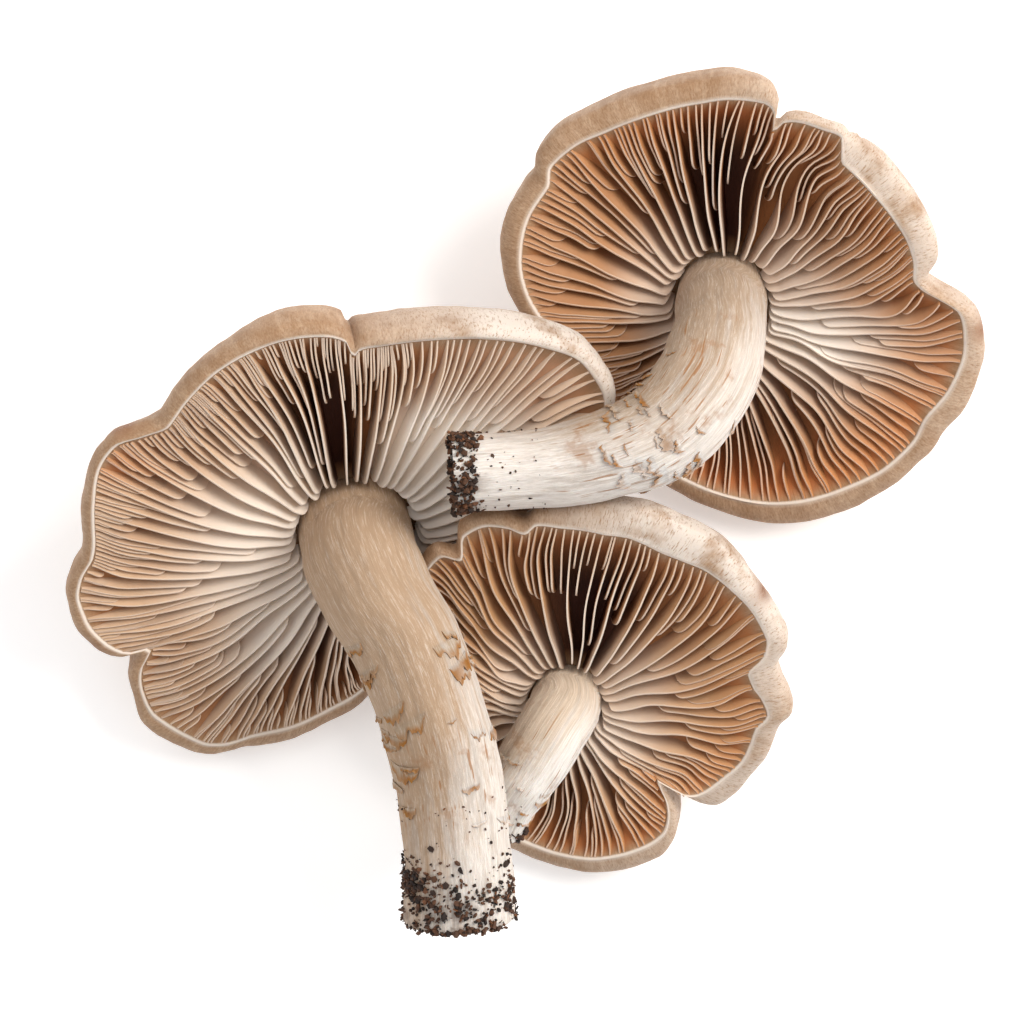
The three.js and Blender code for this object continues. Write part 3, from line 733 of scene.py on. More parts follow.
class Gills:
    """A cap's gills, each a copy of one thin blade laid along the flesh."""

    THICKNESS = 0.28
    SUNK = 0.4  # how deep a blade goes into the flesh
    LEAST_HEIGHT = 0.15
    CROWDING = 1.35  # over 1, a blade's rows lie closer together at its inner end
    RIM_LEAN = 0.9  # how much taller the gills lean at the margin than they stand there
    SPREAD = 0.09  # how far a gill strays from its even place, in shares of its kind's spacing
    # Cycles along a gill, turns round the cap and size of each wave that neighbours share.
    WAVES = ((0.7, 3, 0.8), (1.2, 5, 0.55), (1.9, 9, 0.3), (1.5, 23, 0.16), (2.8, 14, 0.1))

    def __init__(self, sizes: Sizes) -> None:
        """Keeps the sizes and the form and starts the draws."""
        self.m = sizes
        self.form = CapForm(sizes)
        self.draw = np.random.default_rng(sizes.seed + 40)
        self.waviness = Around(sizes.waviness)
        self.painted_sectors = (self.form.pale, Around(sizes.gill_painted_glow), self.form.painted_shade)
        self.phases = self.draw.uniform(0, 2 * math.pi, len(self.WAVES))

    def centres(self) -> dict:
        """Returns each kind's angles, where each shorter kind stands halfway between all longer ones."""
        step = 360 / self.m.gills
        long = np.arange(self.m.gills) * step
        made = {GillKind.LONG: long}
        for rank, kind in enumerate(list(GillKind)[1 : self.m.gill_ranks], start=1):
            parts = 2**rank
            made[kind] = np.concatenate([long + step * k / parts for k in range(1, parts, 2)])
        if GillKind.EIGHTH in made:
            # The gills with the most painted light are so broad that they leave no room for the shortest
            # ones.
            made[GillKind.EIGHTH] = made[GillKind.EIGHTH][self.form.pale(made[GillKind.EIGHTH]) < 1]
        return made

    def template(self, kind: GillKind) -> bpy.types.Object:
        """Adds the flat blade that a kind's gills are copied from."""
        along, across = kind.value[4]
        deselect()
        bpy.ops.mesh.primitive_grid_add(x_subdivisions=along, y_subdivisions=across, size=1)
        blade = bpy.context.object
        for name in ("gill", "painted_light_and_shade"):
            blade.data.attributes.new(name, "FLOAT_VECTOR", "POINT")
        return blade

    def wander(self, u: np.ndarray, v: np.ndarray) -> np.ndarray:
        """Works out how far the gills swing aside, in waves that neighbours share.

        Args:
            u: the gills' angles.
            v: shares of the way out.

        Returns:
            The swings in millimetres.
        """
        total = np.zeros_like(v)
        for (cycles, turns, size), phase in zip(self.WAVES, self.phases):
            total += size * np.sin(2 * math.pi * cycles * v + np.radians(turns * u) + phase)
        return total * self.waviness(u) * smooth(0, 0.3, v) * smooth(1.0, 0.75, v)

    def lay(self, kind: GillKind, a: np.ndarray, b: np.ndarray, u0: np.ndarray) -> tuple:
        """Lays a kind's blades.

        Args:
            kind: which length of gill.
            a: place along the blade at each vertex, from 0 to 1.
            b: place up the blade, from 0 at the flesh to 1 at the free edge.
            u0: the blades' angles.

        Returns:
            Points, marks and the painted light, glow and shade, each an array of blades by vertices by
            three.
        """
        form, draw = self.form, self.draw
        low, high, drop, rounded, _ = kind.value
        count = len(u0)
        jitter = np.clip(draw.normal(0, 1, (3, count, 1)), -2, 2)
        u0 = u0[:, None] + jitter[0] * self.SPREAD * 360 / count
        first = low + (high - low) * draw.uniform(0, 1, (count, 1))
        v = first + (1 - first) * a[None, :] ** self.CROWDING
        turn, waves, phase = self.m.gill_sweep
        u = u0 + turn * np.sin(np.radians(waves * u0 + phase)) * np.sin(math.pi * v) + form.turn_in(u0, v)
        depth = form.depth(u, v)
        edge = form.edge(u, v)
        length = form.rim(u0) - form.inner
        t = np.clip((v - first) * length / rounded, 0, 1)
        rise = np.sqrt(1 - (1 - t) ** 2)
        rise = rise * (1 - drop * draw.uniform(0.3, 1, (count, 1)) * smooth(1.0, 0.7, v))
        waver = 0.12 * np.sin(v * 9 + 3 * np.sin(np.radians(u0 * 4)) + jitter[2])
        height = depth * rise + waver * smooth(0, 0.2, v) * smooth(1, 0.85, v)
        height = np.maximum(height, self.LEAST_HEIGHT)
        level = edge - depth - self.SUNK + (height + self.SUNK) * b
        swing = self.wander(u0, v) * (0.35 + 0.65 * b)
        lean = (0.05 * jitter[2] - self.m.gill_lean * np.cos(np.radians(u))) * b
        lean = lean * (height + self.RIM_LEAN * smooth(0.4, 1.0, v))
        radius = form.reach(u, v)
        u = u + np.degrees((swing + lean) / radius)
        points = form.under(u, v, radius, level)
        tone = np.clip(0.5 + 0.25 * jitter[2], 0, 1) * np.ones_like(v)
        marks = np.stack((v, b * np.ones_like(v), tone), axis=-1)
        painted_light_and_shade = np.stack([share(u) for share in self.painted_sectors], axis=-1)
        painted_light_and_shade[..., 0] *= form.painted_light_share(v)
        painted_light_and_shade[..., 2] *= form.fade(v)
        return points, marks, painted_light_and_shade

    def build(self) -> bpy.types.Object:
        """Copies and lays all the blades, then gives them their thickness."""
        blades = []
        for kind, u0 in self.centres().items():
            template = self.template(kind)
            co = points_of(template)
            for points, marks, painted_light_and_shade in zip(*self.lay(kind, co[:, 0] + 0.5, co[:, 1] + 0.5, u0)):
                blade = copy_of(template)
                put_points(blade.data, points)
                set_vectors(blade.data, "gill", marks)
                set_vectors(blade.data, "painted_light_and_shade", painted_light_and_shade)
                blades.append(blade)
            bpy.data.objects.remove(template)
        piece = joined(f"gills_{self.m.name}", blades)
        wall = piece.modifiers.new("thickness", "SOLIDIFY")
        wall.thickness = self.THICKNESS * MM
        wall.offset = 0
        bpy.ops.object.modifier_apply(modifier=wall.name)
        shade_smooth(piece, 50)
        return piece


class Centreline:
    """A smooth line through a stem's points, read by the share of its length, with its radius."""

    SAMPLES = 60
    NEAR = 0.01  # share of the length to either side over which its direction is taken

    def __init__(self, sizes: Sizes) -> None:
        """Samples the line from inside the cap to the foot."""
        form = CapForm(sizes)
        rise = [form.hub + form.shift + form.along * h for h in (CLEARANCE - form.socket, 0.0, STEM_RISE)]
        spots = rise + [np.array(p[:3], float) for p in sizes.stem]
        self.radii = np.array([sizes.root_radius] * len(rise) + [p[3] for p in sizes.stem])
        spots = [2 * spots[0] - spots[1], *spots, 2 * spots[-1] - spots[-2]]
        samples = []
        for x0, x1, x2, x3 in zip(spots, spots[1:], spots[2:], spots[3:]):
            d0, d1, d2 = (math.sqrt(np.linalg.norm(q - p)) for p, q in ((x0, x1), (x1, x2), (x2, x3)))
            t1 = ((x1 - x0) / d0 - (x2 - x0) / (d0 + d1) + (x2 - x1) / d1) * d1
            t2 = ((x2 - x1) / d1 - (x3 - x1) / (d1 + d2) + (x3 - x2) / d2) * d1
            t = np.linspace(0, 1, self.SAMPLES, endpoint=False)[:, None]
            bend = -3 * x1 + 3 * x2 - 2 * t1 - t2
            twist = 2 * x1 - 2 * x2 + t1 + t2
            samples.append(x1 + t1 * t + bend * t**2 + twist * t**3)
        line = np.vstack([*samples, spots[-2][None, :]])
        steps = np.linalg.norm(np.diff(line, axis=0), axis=1)
        self.reached = np.append(0, np.cumsum(steps))
        self.length = self.reached[-1]
        self.line = line

    def spot(self, s: np.ndarray) -> np.ndarray:
        """Returns points at shares of the length from 0 to 1."""
        along = s * self.length
        return np.stack([np.interp(along, self.reached, self.line[:, k]) for k in range(3)], axis=-1)

    def at(self, s: np.ndarray) -> np.ndarray:
        """Returns points at shares of the length; past either end the line goes straight on."""
        inside = np.clip(s, 0, 1)
        return self.spot(inside) + ((s - inside) * self.length)[..., None] * self.way(inside)

    def way(self, s: np.ndarray) -> np.ndarray:
        """Returns the direction towards the foot."""
        way = self.spot(np.clip(s + self.NEAR, 0, 1)) - self.spot(np.clip(s - self.NEAR, 0, 1))
        return way / np.linalg.norm(way, axis=-1, keepdims=True)

    def radius(self, s: np.ndarray) -> np.ndarray:
        """Returns the stem's radius."""
        last = len(self.radii) - 1
        return np.interp(np.clip(s, 0, 1) * last, np.arange(last + 1), self.radii)

    def surface(self, s: np.ndarray, degrees: np.ndarray, extra: np.ndarray) -> np.ndarray:
        """Places points round the line.

        Args:
            s: shares of the length.
            degrees: angles round the line, 90 uppermost and 0 on the right as one looks to the foot.
            extra: how far the points lie outside the stem's radius.

        Returns:
            The points.
        """
        way = self.way(s)
        side = np.cross(way, (0.0, 0.0, 1.0))
        side /= np.linalg.norm(side, axis=-1, keepdims=True)
        top = np.cross(side, way)
        a = np.radians(degrees)
        out = np.cos(a)[..., None] * side + np.sin(a)[..., None] * top
        return self.at(s) + out * (self.radius(s) + extra)[..., None]


class Stem:
    """A fibrous stem with torn scales, rounded at the foot."""

    FOOT_ROWS = 9
    FOOT_BULGE = 0.4  # how far the foot's end stands out, in shares of its radius
    RIBS = (5, 8, 12, 17, 25)
    RIB_HEIGHT = 0.18  # of a single rib; more ribs are lower, by the root of their number
    LUMPS = 0.22
    FIBRES = 14.0  # radius of the ring of the fibres' pattern that closes round the stem
    GRAIN_STEP = 0.17  # of the fibres' pattern in a millimetre along the stem
    FLAKE_GRID = (19, 5)

    def __init__(self, sizes: Sizes) -> None:
        """Keeps the sizes and the centreline and starts the draws."""
        self.m = sizes
        self.line = Centreline(sizes)
        self.draw = np.random.default_rng(sizes.seed + 80)

    def relief(self, s: np.ndarray, degrees: np.ndarray) -> np.ndarray:
        """Works out the fibres and hollows that run along the stem.

        Args:
            s: shares of the length.
            degrees: angles round the stem.

        Returns:
            Their heights.
        """
        draw = np.random.default_rng(self.m.seed + 7)
        total = np.zeros_like(s)
        for ribs in self.RIBS:
            drift = draw.uniform(-2.5, 2.5)
            phase, slow = draw.uniform(0, 6.3, 2)
            swell = 0.6 + 0.4 * np.sin(s * draw.uniform(6, 14) + slow)
            wave = np.sin(ribs * np.radians(degrees) + drift * s + phase)
            total += self.RIB_HEIGHT / math.sqrt(ribs) * swell * wave
        return total * smooth(0.0, 0.08, s)

    def grain(self, s: np.ndarray, degrees: np.ndarray) -> np.ndarray:
        """Returns the place in the fibres' pattern, which closes round the stem."""
        a = np.radians(degrees)
        along = s * self.line.length * self.GRAIN_STEP
        return np.stack((np.cos(a) * self.FIBRES, np.sin(a) * self.FIBRES, along), axis=-1)

    def build(self) -> bpy.types.Object:
        """Shapes a globe into the stem and adds its scales."""
        piece, degrees, row = ball(f"stem_{self.m.name}_flesh", STEM_SEGMENTS, STEM_ROWS)
        line = self.line
        last = STEM_ROWS - self.FOOT_ROWS
        s = np.clip((row - 2) / (last - 2), 0, 1)
        inset = np.where(row < 2, row / 2, 1.0)
        foot = np.clip((row - last) / self.FOOT_ROWS, 0, 1) * math.pi / 2
        inset = inset * np.cos(foot)
        past = np.sin(foot) * self.FOOT_BULGE * line.radius(np.ones(1))[0] / line.length
        extra = self.relief(s, degrees)
        lumps = Waves(self.m.seed + 3, 12, 4.0, 18.0)
        rough = line.surface(s, degrees, extra)
        extra = extra + self.LUMPS * lumps(rough) * smooth(0.05, 0.2, s)
        radius = line.radius(s)
        points = line.surface(s + past, degrees, (radius + extra) * inset - radius)
        put_points(piece.data, points)
        # Its third number runs from one side of the stem to the other, for the painted side shade.
        shade = np.stack((s, np.zeros_like(s), -np.cos(np.radians(degrees))), axis=-1)
        set_vectors(piece.data, "grain", self.grain(s, degrees))
        set_vectors(piece.data, "stem", shade)
        piece = joined(f"stem_{self.m.name}_flesh", [piece, *self.flakes()])
        shade_smooth(piece, 65)
        return piece

    def flakes(self) -> list:
        """Copies one curled scale over the stem's torn stretch, thickest at its free edge."""
        draw, line = self.draw, self.line
        along, across = self.FLAKE_GRID
        deselect()
        bpy.ops.mesh.primitive_grid_add(x_subdivisions=along, y_subdivisions=across, size=1)
        template = bpy.context.object
        template.data.attributes.new("grain", "FLOAT_VECTOR", "POINT")
        template.data.attributes.new("stem", "FLOAT_VECTOR", "POINT")
        wall = template.modifiers.new("thickness", "SOLIDIFY")
        wall.thickness = 0.02
        wall.offset = 0
        bpy.ops.object.modifier_apply(modifier=wall.name)
        co = points_of(template)
        x, y, layer = co[:, 0], co[:, 1] + 0.5, np.sign(co[:, 2])
        low, high = self.m.flake_range
        made = []
        for _ in range(self.m.flakes):
            width = draw.uniform(*self.m.flake_size)
            length = width * draw.uniform(0.2, 0.5)
            middle = (low + high) / 2 + (high - low) / 2 * np.clip(draw.normal(0, 0.5), -1, 1)
            angle = draw.uniform(0, 360)
            ragged = 0.2 * np.sin(x * draw.uniform(6, 12) + draw.uniform(0, 6))
            ragged = ragged + 0.13 * np.sin(x * 27 + angle) + 0.07 * np.sin(x * 55 + 2 * angle)
            tongue = np.sqrt(1 - (2 * x) ** 4) * (0.7 + ragged)
            lift = draw.uniform(0.1, 0.4)
            reach = middle + (y * tongue + draw.uniform(-0.7, 0.7) * x) * length / line.length
            radius = line.radius(reach)
            turn = angle + np.degrees(x * width / radius)
            curl = lift * y**2.2 * (1 - (2 * x) ** 4)
            base = self.relief(reach, turn) + 0.03
            points = line.surface(reach, turn, base + curl + layer * (0.04 + 0.05 * y))
            flake = copy_of(template)
            put_points(flake.data, points)
            from_here = draw.uniform(0, 0.5)
            torn = smooth(from_here, from_here + 0.4, y) * draw.choice((0.5, 0.9, 1.0))
            torn = torn * (0.8 + 0.2 * np.sin(x * 8 + angle))
            set_vectors(flake.data, "grain", self.grain(reach, turn))
            # The third number is for the painted side shade, as on the stem.
            set_vectors(flake.data, "stem", np.stack((reach, torn, -np.cos(np.radians(turn))), axis=-1))
            made.append(flake)
        bpy.data.objects.remove(template)
        return made


class Soil:
    """Crumbs of soil that cling to a stem's foot, in clumps with pale threads of root showing between."""

    SHAPES = 5
    DENTED = 0.38
    CRUMB = (0.2, 0.6)
    # Shares of the crumbs round the foot's brim, on its end and strayed up the stem; the rest is in clumps.
    RING_SHARE = 0.4
    FACE_SHARE = 0.26
    STRAY_SHARE = 0.07
    STRAY_SIZE = 0.45

    def __init__(self, sizes: Sizes) -> None:
        """Keeps the sizes and the centreline and starts the draws."""
        self.m = sizes
        self.line = Centreline(sizes)
        self.draw = np.random.default_rng(sizes.seed + 120)

    def shapes(self) -> list:
        """Makes a few crumbs of different form to copy."""
        made = []
        for k in range(self.SHAPES):
            deselect()
            bpy.ops.mesh.primitive_ico_sphere_add(subdivisions=1, radius=1)
            crumb = bpy.context.object
            co = points_of(crumb)
            dent = Waves(self.m.seed + 200 + k, 9, 0.8, 2.4)(co)
            dented = co * (1 + self.DENTED * dent)[:, None]
            crumb.data.vertices.foreach_set("co", dented.astype(np.float32).ravel())
            crumb.data.attributes.new("crumb", "FLOAT_VECTOR", "POINT")
            made.append(crumb)
        return made

    def spots(self) -> tuple[np.ndarray, np.ndarray]:
        """Draws where the crumbs cling.

        Returns:
            The crumbs' places and their sizes.
        """
        draw, line, m = self.draw, self.line, self.m
        count = m.crumbs
        ends = int(count * self.FACE_SHARE)
        ring = int(count * self.RING_SHARE)
        strays = int(count * self.STRAY_SHARE)
        tight = count - ends - ring - strays
        radius = line.radius(np.ones(1))[0]
        spread = radius * np.sqrt(draw.uniform(0, 1, ends))
        bulge = Stem.FOOT_BULGE * radius * np.sqrt(np.clip(1 - (spread / radius) ** 2, 0, 1))
        face = line.surface(1 + bulge / line.length, draw.uniform(0, 360, ends), spread - radius)
        degrees = draw.uniform(0, 360, ring)
        drawn_up = np.abs(draw.normal(0, 1, ring)) * (1.2 + np.sin(np.radians(degrees * 5 + 40 * m.seed)))
        past = 1.3 + 0.9 * np.sin(np.radians(degrees * 3 + 70 * m.seed))
        brim = line.surface(1 + (past - drawn_up) / line.length, degrees, draw.uniform(-0.9, 0.6, ring))
        pick = draw.integers(0, len(m.clumps), tight)
        clump = np.array(m.clumps)[pick]
        s = clump[:, 0] + draw.normal(0, 1, tight) * clump[:, 2] * 0.45 * m.soil_length / line.length
        s = np.where(s > 1, 2 - s, s)
        degrees = clump[:, 1] + draw.normal(0, 1, tight) * 22
        side = line.surface(s, degrees, np.full(tight, 0.2))
        s = draw.uniform(1 - 2.4 * m.soil_length / line.length, 0.98, strays)
        stray = line.surface(s, draw.uniform(0, 360, strays), np.full(strays, 0.1))
        scale = draw.uniform(*self.CRUMB, count) ** 1.3
        scale[-strays:] *= self.STRAY_SIZE
        return np.vstack((face, brim, side, stray)), scale

    def build(self) -> bpy.types.Object:
        """Copies the crumbs to their places and joins them."""
        draw = self.draw
        shapes = self.shapes()
        forms = [points_of(shape) for shape in shapes]
        crumbs = []
        for place, size in zip(*self.spots()):
            k = draw.integers(0, self.SHAPES)
            turned, _ = np.linalg.qr(draw.normal(size=(3, 3)))
            if np.linalg.det(turned) < 0:
                turned[:, 0] *= -1
            form = (forms[k] * draw.uniform(0.4, 1.6, 3)) @ turned.T * size
            points = place + form
            points[:, 2] = np.maximum(points[:, 2], 0)
            crumb = copy_of(shapes[k])
            put_points(crumb.data, points)
            tone = np.tile((draw.uniform(), draw.uniform(), 0.0), (len(form), 1))
            set_vectors(crumb.data, "crumb", tone)
            crumbs.append(crumb)
        for shape in shapes:
            bpy.data.objects.remove(shape)
        piece = joined(f"soil_{self.m.name}_crumbs", crumbs)
        shade_smooth(piece, 45)
        return piece


def linear(hex_colour: str) -> tuple[float, float, float, float]:
    """Returns an sRGB hex colour as linear red, green, blue and alpha."""
    parts = (int(hex_colour[i : i + 2], 16) / 255 for i in (1, 3, 5))
    return (*(p / 12.92 if p <= 0.04045 else ((p + 0.055) / 1.055) ** 2.4 for p in parts), 1.0)


def node(
    tree: bpy.types.NodeTree,
    kind: str,
    inputs: dict | None = None,
    out: int | str = 0,
    **settings: object,
) -> bpy.types.NodeSocket | None:
    """Adds a node with its settings, values and links.

    Args:
        tree: the material's node tree.
        kind: the node's type.
        inputs: a value, or a socket to link from, for each input by name or number.
        out: which of the node's outputs is wanted.
        **settings: the node's own properties.

    Returns:
        The wanted output's socket, or nothing for a node that has none.
    """
    made = tree.nodes.new(f"ShaderNode{kind}")
    for name, value in settings.items():
        setattr(made, name, value)
    for key, value in (inputs or {}).items():
        if isinstance(value, bpy.types.NodeSocket):
            tree.links.new(value, made.inputs[key])
        else:
            made.inputs[key].default_value = value
    return made.outputs[out] if made.outputs else None


class Finish:
    """A material under construction: its nodes, the masks between them and the layers of colour."""

    def __init__(self, name: str) -> None:
        """Starts an empty node material."""
        self.material = bpy.data.materials.new(name)
        self.material.use_nodes = True
        self.tree = self.material.node_tree
        self.tree.nodes.clear()
        self.add = partial(node, self.tree)
        self.place = self.add("TexCoord", out="Object")

    def read(self, attribute: str) -> tuple:
        """Returns the sockets of the three numbers that an attribute holds."""
        vector = self.add("Attribute", out="Vector", attribute_name=attribute)
        return tuple(self.add("SeparateXYZ", {0: vector}, out) for out in range(3))

    def masks(self, ranges: tuple) -> list:
        """Makes smooth masks.

        Args:
            ranges: for each mask, its source and the values where it is 0 and where it is 1.

        Returns:
            The masks' sockets.
        """
        made = []
        for source, zero, one in ranges:
            low, high = min(zero, one), max(zero, one)
            inputs = {0: source, 1: low, 2: high, 3: float(zero > one), 4: float(one > zero)}
            made.append(self.add("MapRange", inputs, interpolation_type="SMOOTHSTEP"))
        return made

    def layers(self, base: str, coats: tuple) -> bpy.types.NodeSocket:
        """Lays colours over a base, each through the product of its masks.

        Args:
            base: the colour at the bottom.
            coats: each coat's colour, and its masks' sockets and strengths.

        Returns:
            The result's socket.
        """
        colour = self.add("Mix", {0: 0.0, 6: linear(base), 7: linear(base)}, 2, data_type="RGBA")
        for tint, *factors in coats:
            share = factors[0]
            for factor in factors[1:]:
                share = self.add("Math", {0: share, 1: factor}, operation="MULTIPLY")
            colour = self.add("Mix", {0: share, 6: colour, 7: linear(tint)}, 2, data_type="RGBA")
        return colour

    def shaded(
        self,
        colour: bpy.types.NodeSocket,
        height: bpy.types.NodeSocket,
        strength: float,
        depth: float,
        gloss: dict,
    ) -> bpy.types.Material:
        """Joins colour, relief and gloss.

        Args:
            colour: the base colour's socket.
            height: the relief's socket.
            strength: how strongly the relief shows.
            depth: the relief's depth in millimetres.
            gloss: the shader's other values.

        Returns:
            The material.
        """
        normal = self.add("Bump", {"Height": height, "Strength": strength, "Distance": depth * MM})
        shader = self.add("BsdfPrincipled", {"Base Color": colour, "Normal": normal, **gloss})
        self.add("OutputMaterial", {0: shader})
        return self.material


@dataclass(frozen=True)
class CapSkin:
    """Dry mushroom cap skin, grown as flattened silky fibres that run from the crown to the margin.

    It looks softly matt, tan with paler fibres, and silvery where handling has brushed the fibres up, with
    a highlight painted into that silver where the rims face the key light. Between the gills the flesh
    carries painted shade, painted light and a painted glow.
    """

    tan: str = "#A98562"
    deep: str = "#86613F"
    pale: str = "#CBAF92"
    silver_sheen: str = "#D6CABE"
    lip: str = "#F3E9DD"
    stain: str = "#7C4A20"
    between_shade: str = "#9C6538"
    painted_light_cream: str = "#F1E2D1"
    painted_shade: str = "#471E0D"
    painted_glow: str = "#BC6C34"

    def material(self) -> bpy.types.Material:
        """Builds the skin's nodes."""
        finish = Finish("mushroom_cap_skin")
        add = finish.add
        grain = add("Attribute", out="Vector", attribute_name="grain")
        out = finish.read("grain")[2]
        lip, sheened, stained = finish.read("marks")
        inside, toned, painted_glow = finish.read("floor")
        stretched = add("Mapping", {"Vector": grain, "Scale": (1.0, 1.0, 24.0)})
        # Fibres are about 0.3 mm wide and 1 to 2 mm long: 1 unit of the grain is 0.5 mm at the margin.
        fibres = add("TexNoise", {"Vector": stretched, "Scale": 1.7, "Detail": 4.0, "Roughness": 0.7})
        broad = add("TexNoise", {"Vector": stretched, "Scale": 0.3, "Detail": 3.0})
        clouds = add("TexNoise", {"Vector": finish.place, "Scale": 110.0, "Detail": 4.0, "Roughness": 0.6})
        speck = add("TexNoise", {"Vector": finish.place, "Scale": 2400.0, "Detail": 2.0})
        cloudy, streaky, thready, pitted, lipward, bare, cracked, painted_shade, light = finish.masks(
            (
                (clouds, 0.38, 0.64),
                (broad, 0.42, 0.66),
                (fibres, 0.62, 0.34),
                (speck, 0.62, 0.38),
                (out, 1.0, 1.11),
                (clouds, 0.72, 0.4),
                (fibres, 0.3, 0.5),
                # painted shade and painted light between the gills, from the floor's second number
                (toned, 0.0, 1.0),
                (toned, 0.0, -1.0),
            )
        )
        colour = finish.layers(
            self.tan,
            (
                (self.deep, cloudy, 0.5),
                (self.pale, lipward, 0.3),
                (self.pale, streaky, 0.38),
                (self.deep, thready, 0.55),
                (self.deep, pitted, 0.25),
                # silvery fibres with a painted highlight where the rims face the key light
                (self.silver_sheen, sheened, cracked, bare),
                (self.stain, stained, cracked),
                (self.lip, lip, 0.75),
                # painted shade: the flesh between the gills is painted brown
                (self.between_shade, inside),
                # painted light on the flesh between the gills where they should look palest
                (self.painted_light_cream, inside, light, 0.8),
                # painted glow of light coming through the flesh near the margin
                (self.painted_glow, inside, painted_glow, 0.7),
                # painted shade deep in the gaps between the gills
                (self.painted_shade, inside, painted_shade),
            ),
        )
        gloss = {
            "Roughness": 0.64,
            "IOR": 1.4,
            "Subsurface Weight": 0.1,
            "Subsurface Radius": (1.0, 0.55, 0.3),
            "Subsurface Scale": 0.0015,
            "Sheen Weight": 0.1,
            "Sheen Roughness": 0.5,
        }
        return finish.shaded(colour, fibres, 0.4, 0.25, gloss)


@dataclass(frozen=True)
class GillFlesh:
    """Fresh gill flesh, grown as thin moist blades.

    It is cream at the free edge and beige on the faces. Shade is painted brown at each blade's root and
    dark deep in the gaps of some sectors, where the free edges get a painted highlight, and light is
    painted pale over other sectors. Light passes through it, so an orange glow is painted on it near the
    margin.
    """

    name: str
    face: str
    pale: str = "#FCF1E4"
    low: str = "#8A5730"
    painted_shade: str = "#4C1F0C"
    painted_glow: str = "#C67A3A"
    edge: str = "#FBEBDA"

    def material(self) -> bpy.types.Material:
        """Builds the gills' nodes."""
        finish = Finish(self.name)
        add = finish.add
        out, up, tone = finish.read("gill")
        pale, painted_glow, painted_shade = finish.read("painted_light_and_shade")
        clouds = add("TexNoise", {"Vector": finish.place, "Scale": 130.0, "Detail": 3.0})
        fine = add("TexNoise", {"Vector": finish.place, "Scale": 1500.0, "Detail": 2.0, "Roughness": 0.6})
        inner, outer, root_shade, gap_shade, edged, patchy, toned = finish.masks(
            (
                (out, 0.55, 0.1),
                (out, 0.55, 1.0),
                (up, 0.7, 0.1),
                (up, 0.9, 0.45),
                (up, 0.94, 1.0),
                (clouds, 0.4, 0.62),
                (tone, 0.2, 0.8),
            )
        )
        colour = finish.layers(
            self.face,
            (
                (self.low, patchy, 0.18),
                (self.low, toned, 0.14),
                # painted shade at each blade's root
                (self.low, root_shade, 0.65),
                (self.pale, inner, 0.38),
                # painted light over the sectors where the gills should look palest
                (self.pale, pale, 0.9),
                # painted glow of light coming through the blades near the margin
                (self.painted_glow, painted_glow, outer, 0.6),
                # painted shade on the low part of the blades where the gaps should look dark
                (self.painted_shade, painted_shade, gap_shade),
                (self.edge, edged, 0.34),
                # painted highlight: the free edges are painted paler still where shade is painted into the
                # gaps
                (self.edge, edged, painted_shade, 0.6),
            ),
        )
        gloss = {
            "Roughness": 0.55,
            "IOR": 1.38,
            "Subsurface Weight": 0.3,
            "Subsurface Radius": (1.0, 0.8, 0.62),
            "Subsurface Scale": 0.002,
        }
        return finish.shaded(colour, fine, 0.12, 0.2, gloss)


@dataclass(frozen=True)
class StemFlesh:
    """Fibrous stem flesh, grown in long strands.

    It is tan and silky near the cap, and white and cottony near the foot. Where the outer layer has torn,
    its curled edges have dried brown.
    """

    name: str
    tan: str
    white: str
    tan_range: tuple[float, float]
    grey: str = "#87705A"
    silky: str = "#FBF6EF"
    torn: str = "#98601F"
    soil: str = "#5B3D28"
    side_shade: float = 0.34

    def material(self) -> bpy.types.Material:
        """Builds the stem's nodes."""
        finish = Finish(self.name)
        add = finish.add
        grain = add("Attribute", out="Vector", attribute_name="grain")
        along, torn, side = finish.read("stem")
        strands = add("TexNoise", {"Vector": grain, "Scale": 2.4, "Detail": 5.0, "Roughness": 0.75})
        broad = add("TexNoise", {"Vector": grain, "Scale": 0.5, "Detail": 3.0})
        flecks = add("TexNoise", {"Vector": grain, "Scale": 1.1, "Detail": 2.0})
        clouds = add("TexNoise", {"Vector": finish.place, "Scale": 160.0, "Detail": 4.0, "Roughness": 0.65})
        spread = add("Math", {0: broad, 1: 0.9, 2: -0.45}, operation="MULTIPLY_ADD")
        drifted = add("Math", {0: along, 1: spread}, operation="ADD")
        # Painted shade: the side away from the key light is painted tan and the lit side whiter.
        side_shaded = add("Math", {0: side, 1: self.side_shade, 2: drifted}, operation="MULTIPLY_ADD")
        low, high = self.tan_range
        white, thready, streaky, patchy, torn_from, torn_to, footed, dirty, flecked, silky = finish.masks(
            (
                (side_shaded, low, high),
                (strands, 0.62, 0.34),
                (broad, 0.5, 0.66),
                (clouds, 0.56, 0.68),
                (along, low, low + 0.15),
                (along, 0.88, 0.72),
                (along, 0.9, 0.99),
                (clouds, 0.48, 0.62),
                (flecks, 0.63, 0.69),
                (strands, 0.5, 0.7),
            )
        )
        colour = finish.layers(
            self.tan,
            (
                (self.white, white),
                (self.grey, thready, 0.26),
                (self.grey, streaky, 0.3),
                (self.silky, silky, 0.3),
                (self.torn, patchy, torn_from, torn_to, 0.4),
                (self.torn, flecked, torn_from, torn_to, 0.7),
                (self.torn, torn),
                (self.soil, footed, dirty, 0.6),
            ),
        )
        height = add("Math", {0: clouds, 1: 0.4, 2: strands}, operation="MULTIPLY_ADD")
        gloss = {
            "Roughness": 0.68,
            "IOR": 1.4,
            "Subsurface Weight": 0.25,
            "Subsurface Radius": (1.0, 0.7, 0.5),
            "Subsurface Scale": 0.002,
        }
        return finish.shaded(colour, height, 0.55, 0.4, gloss)


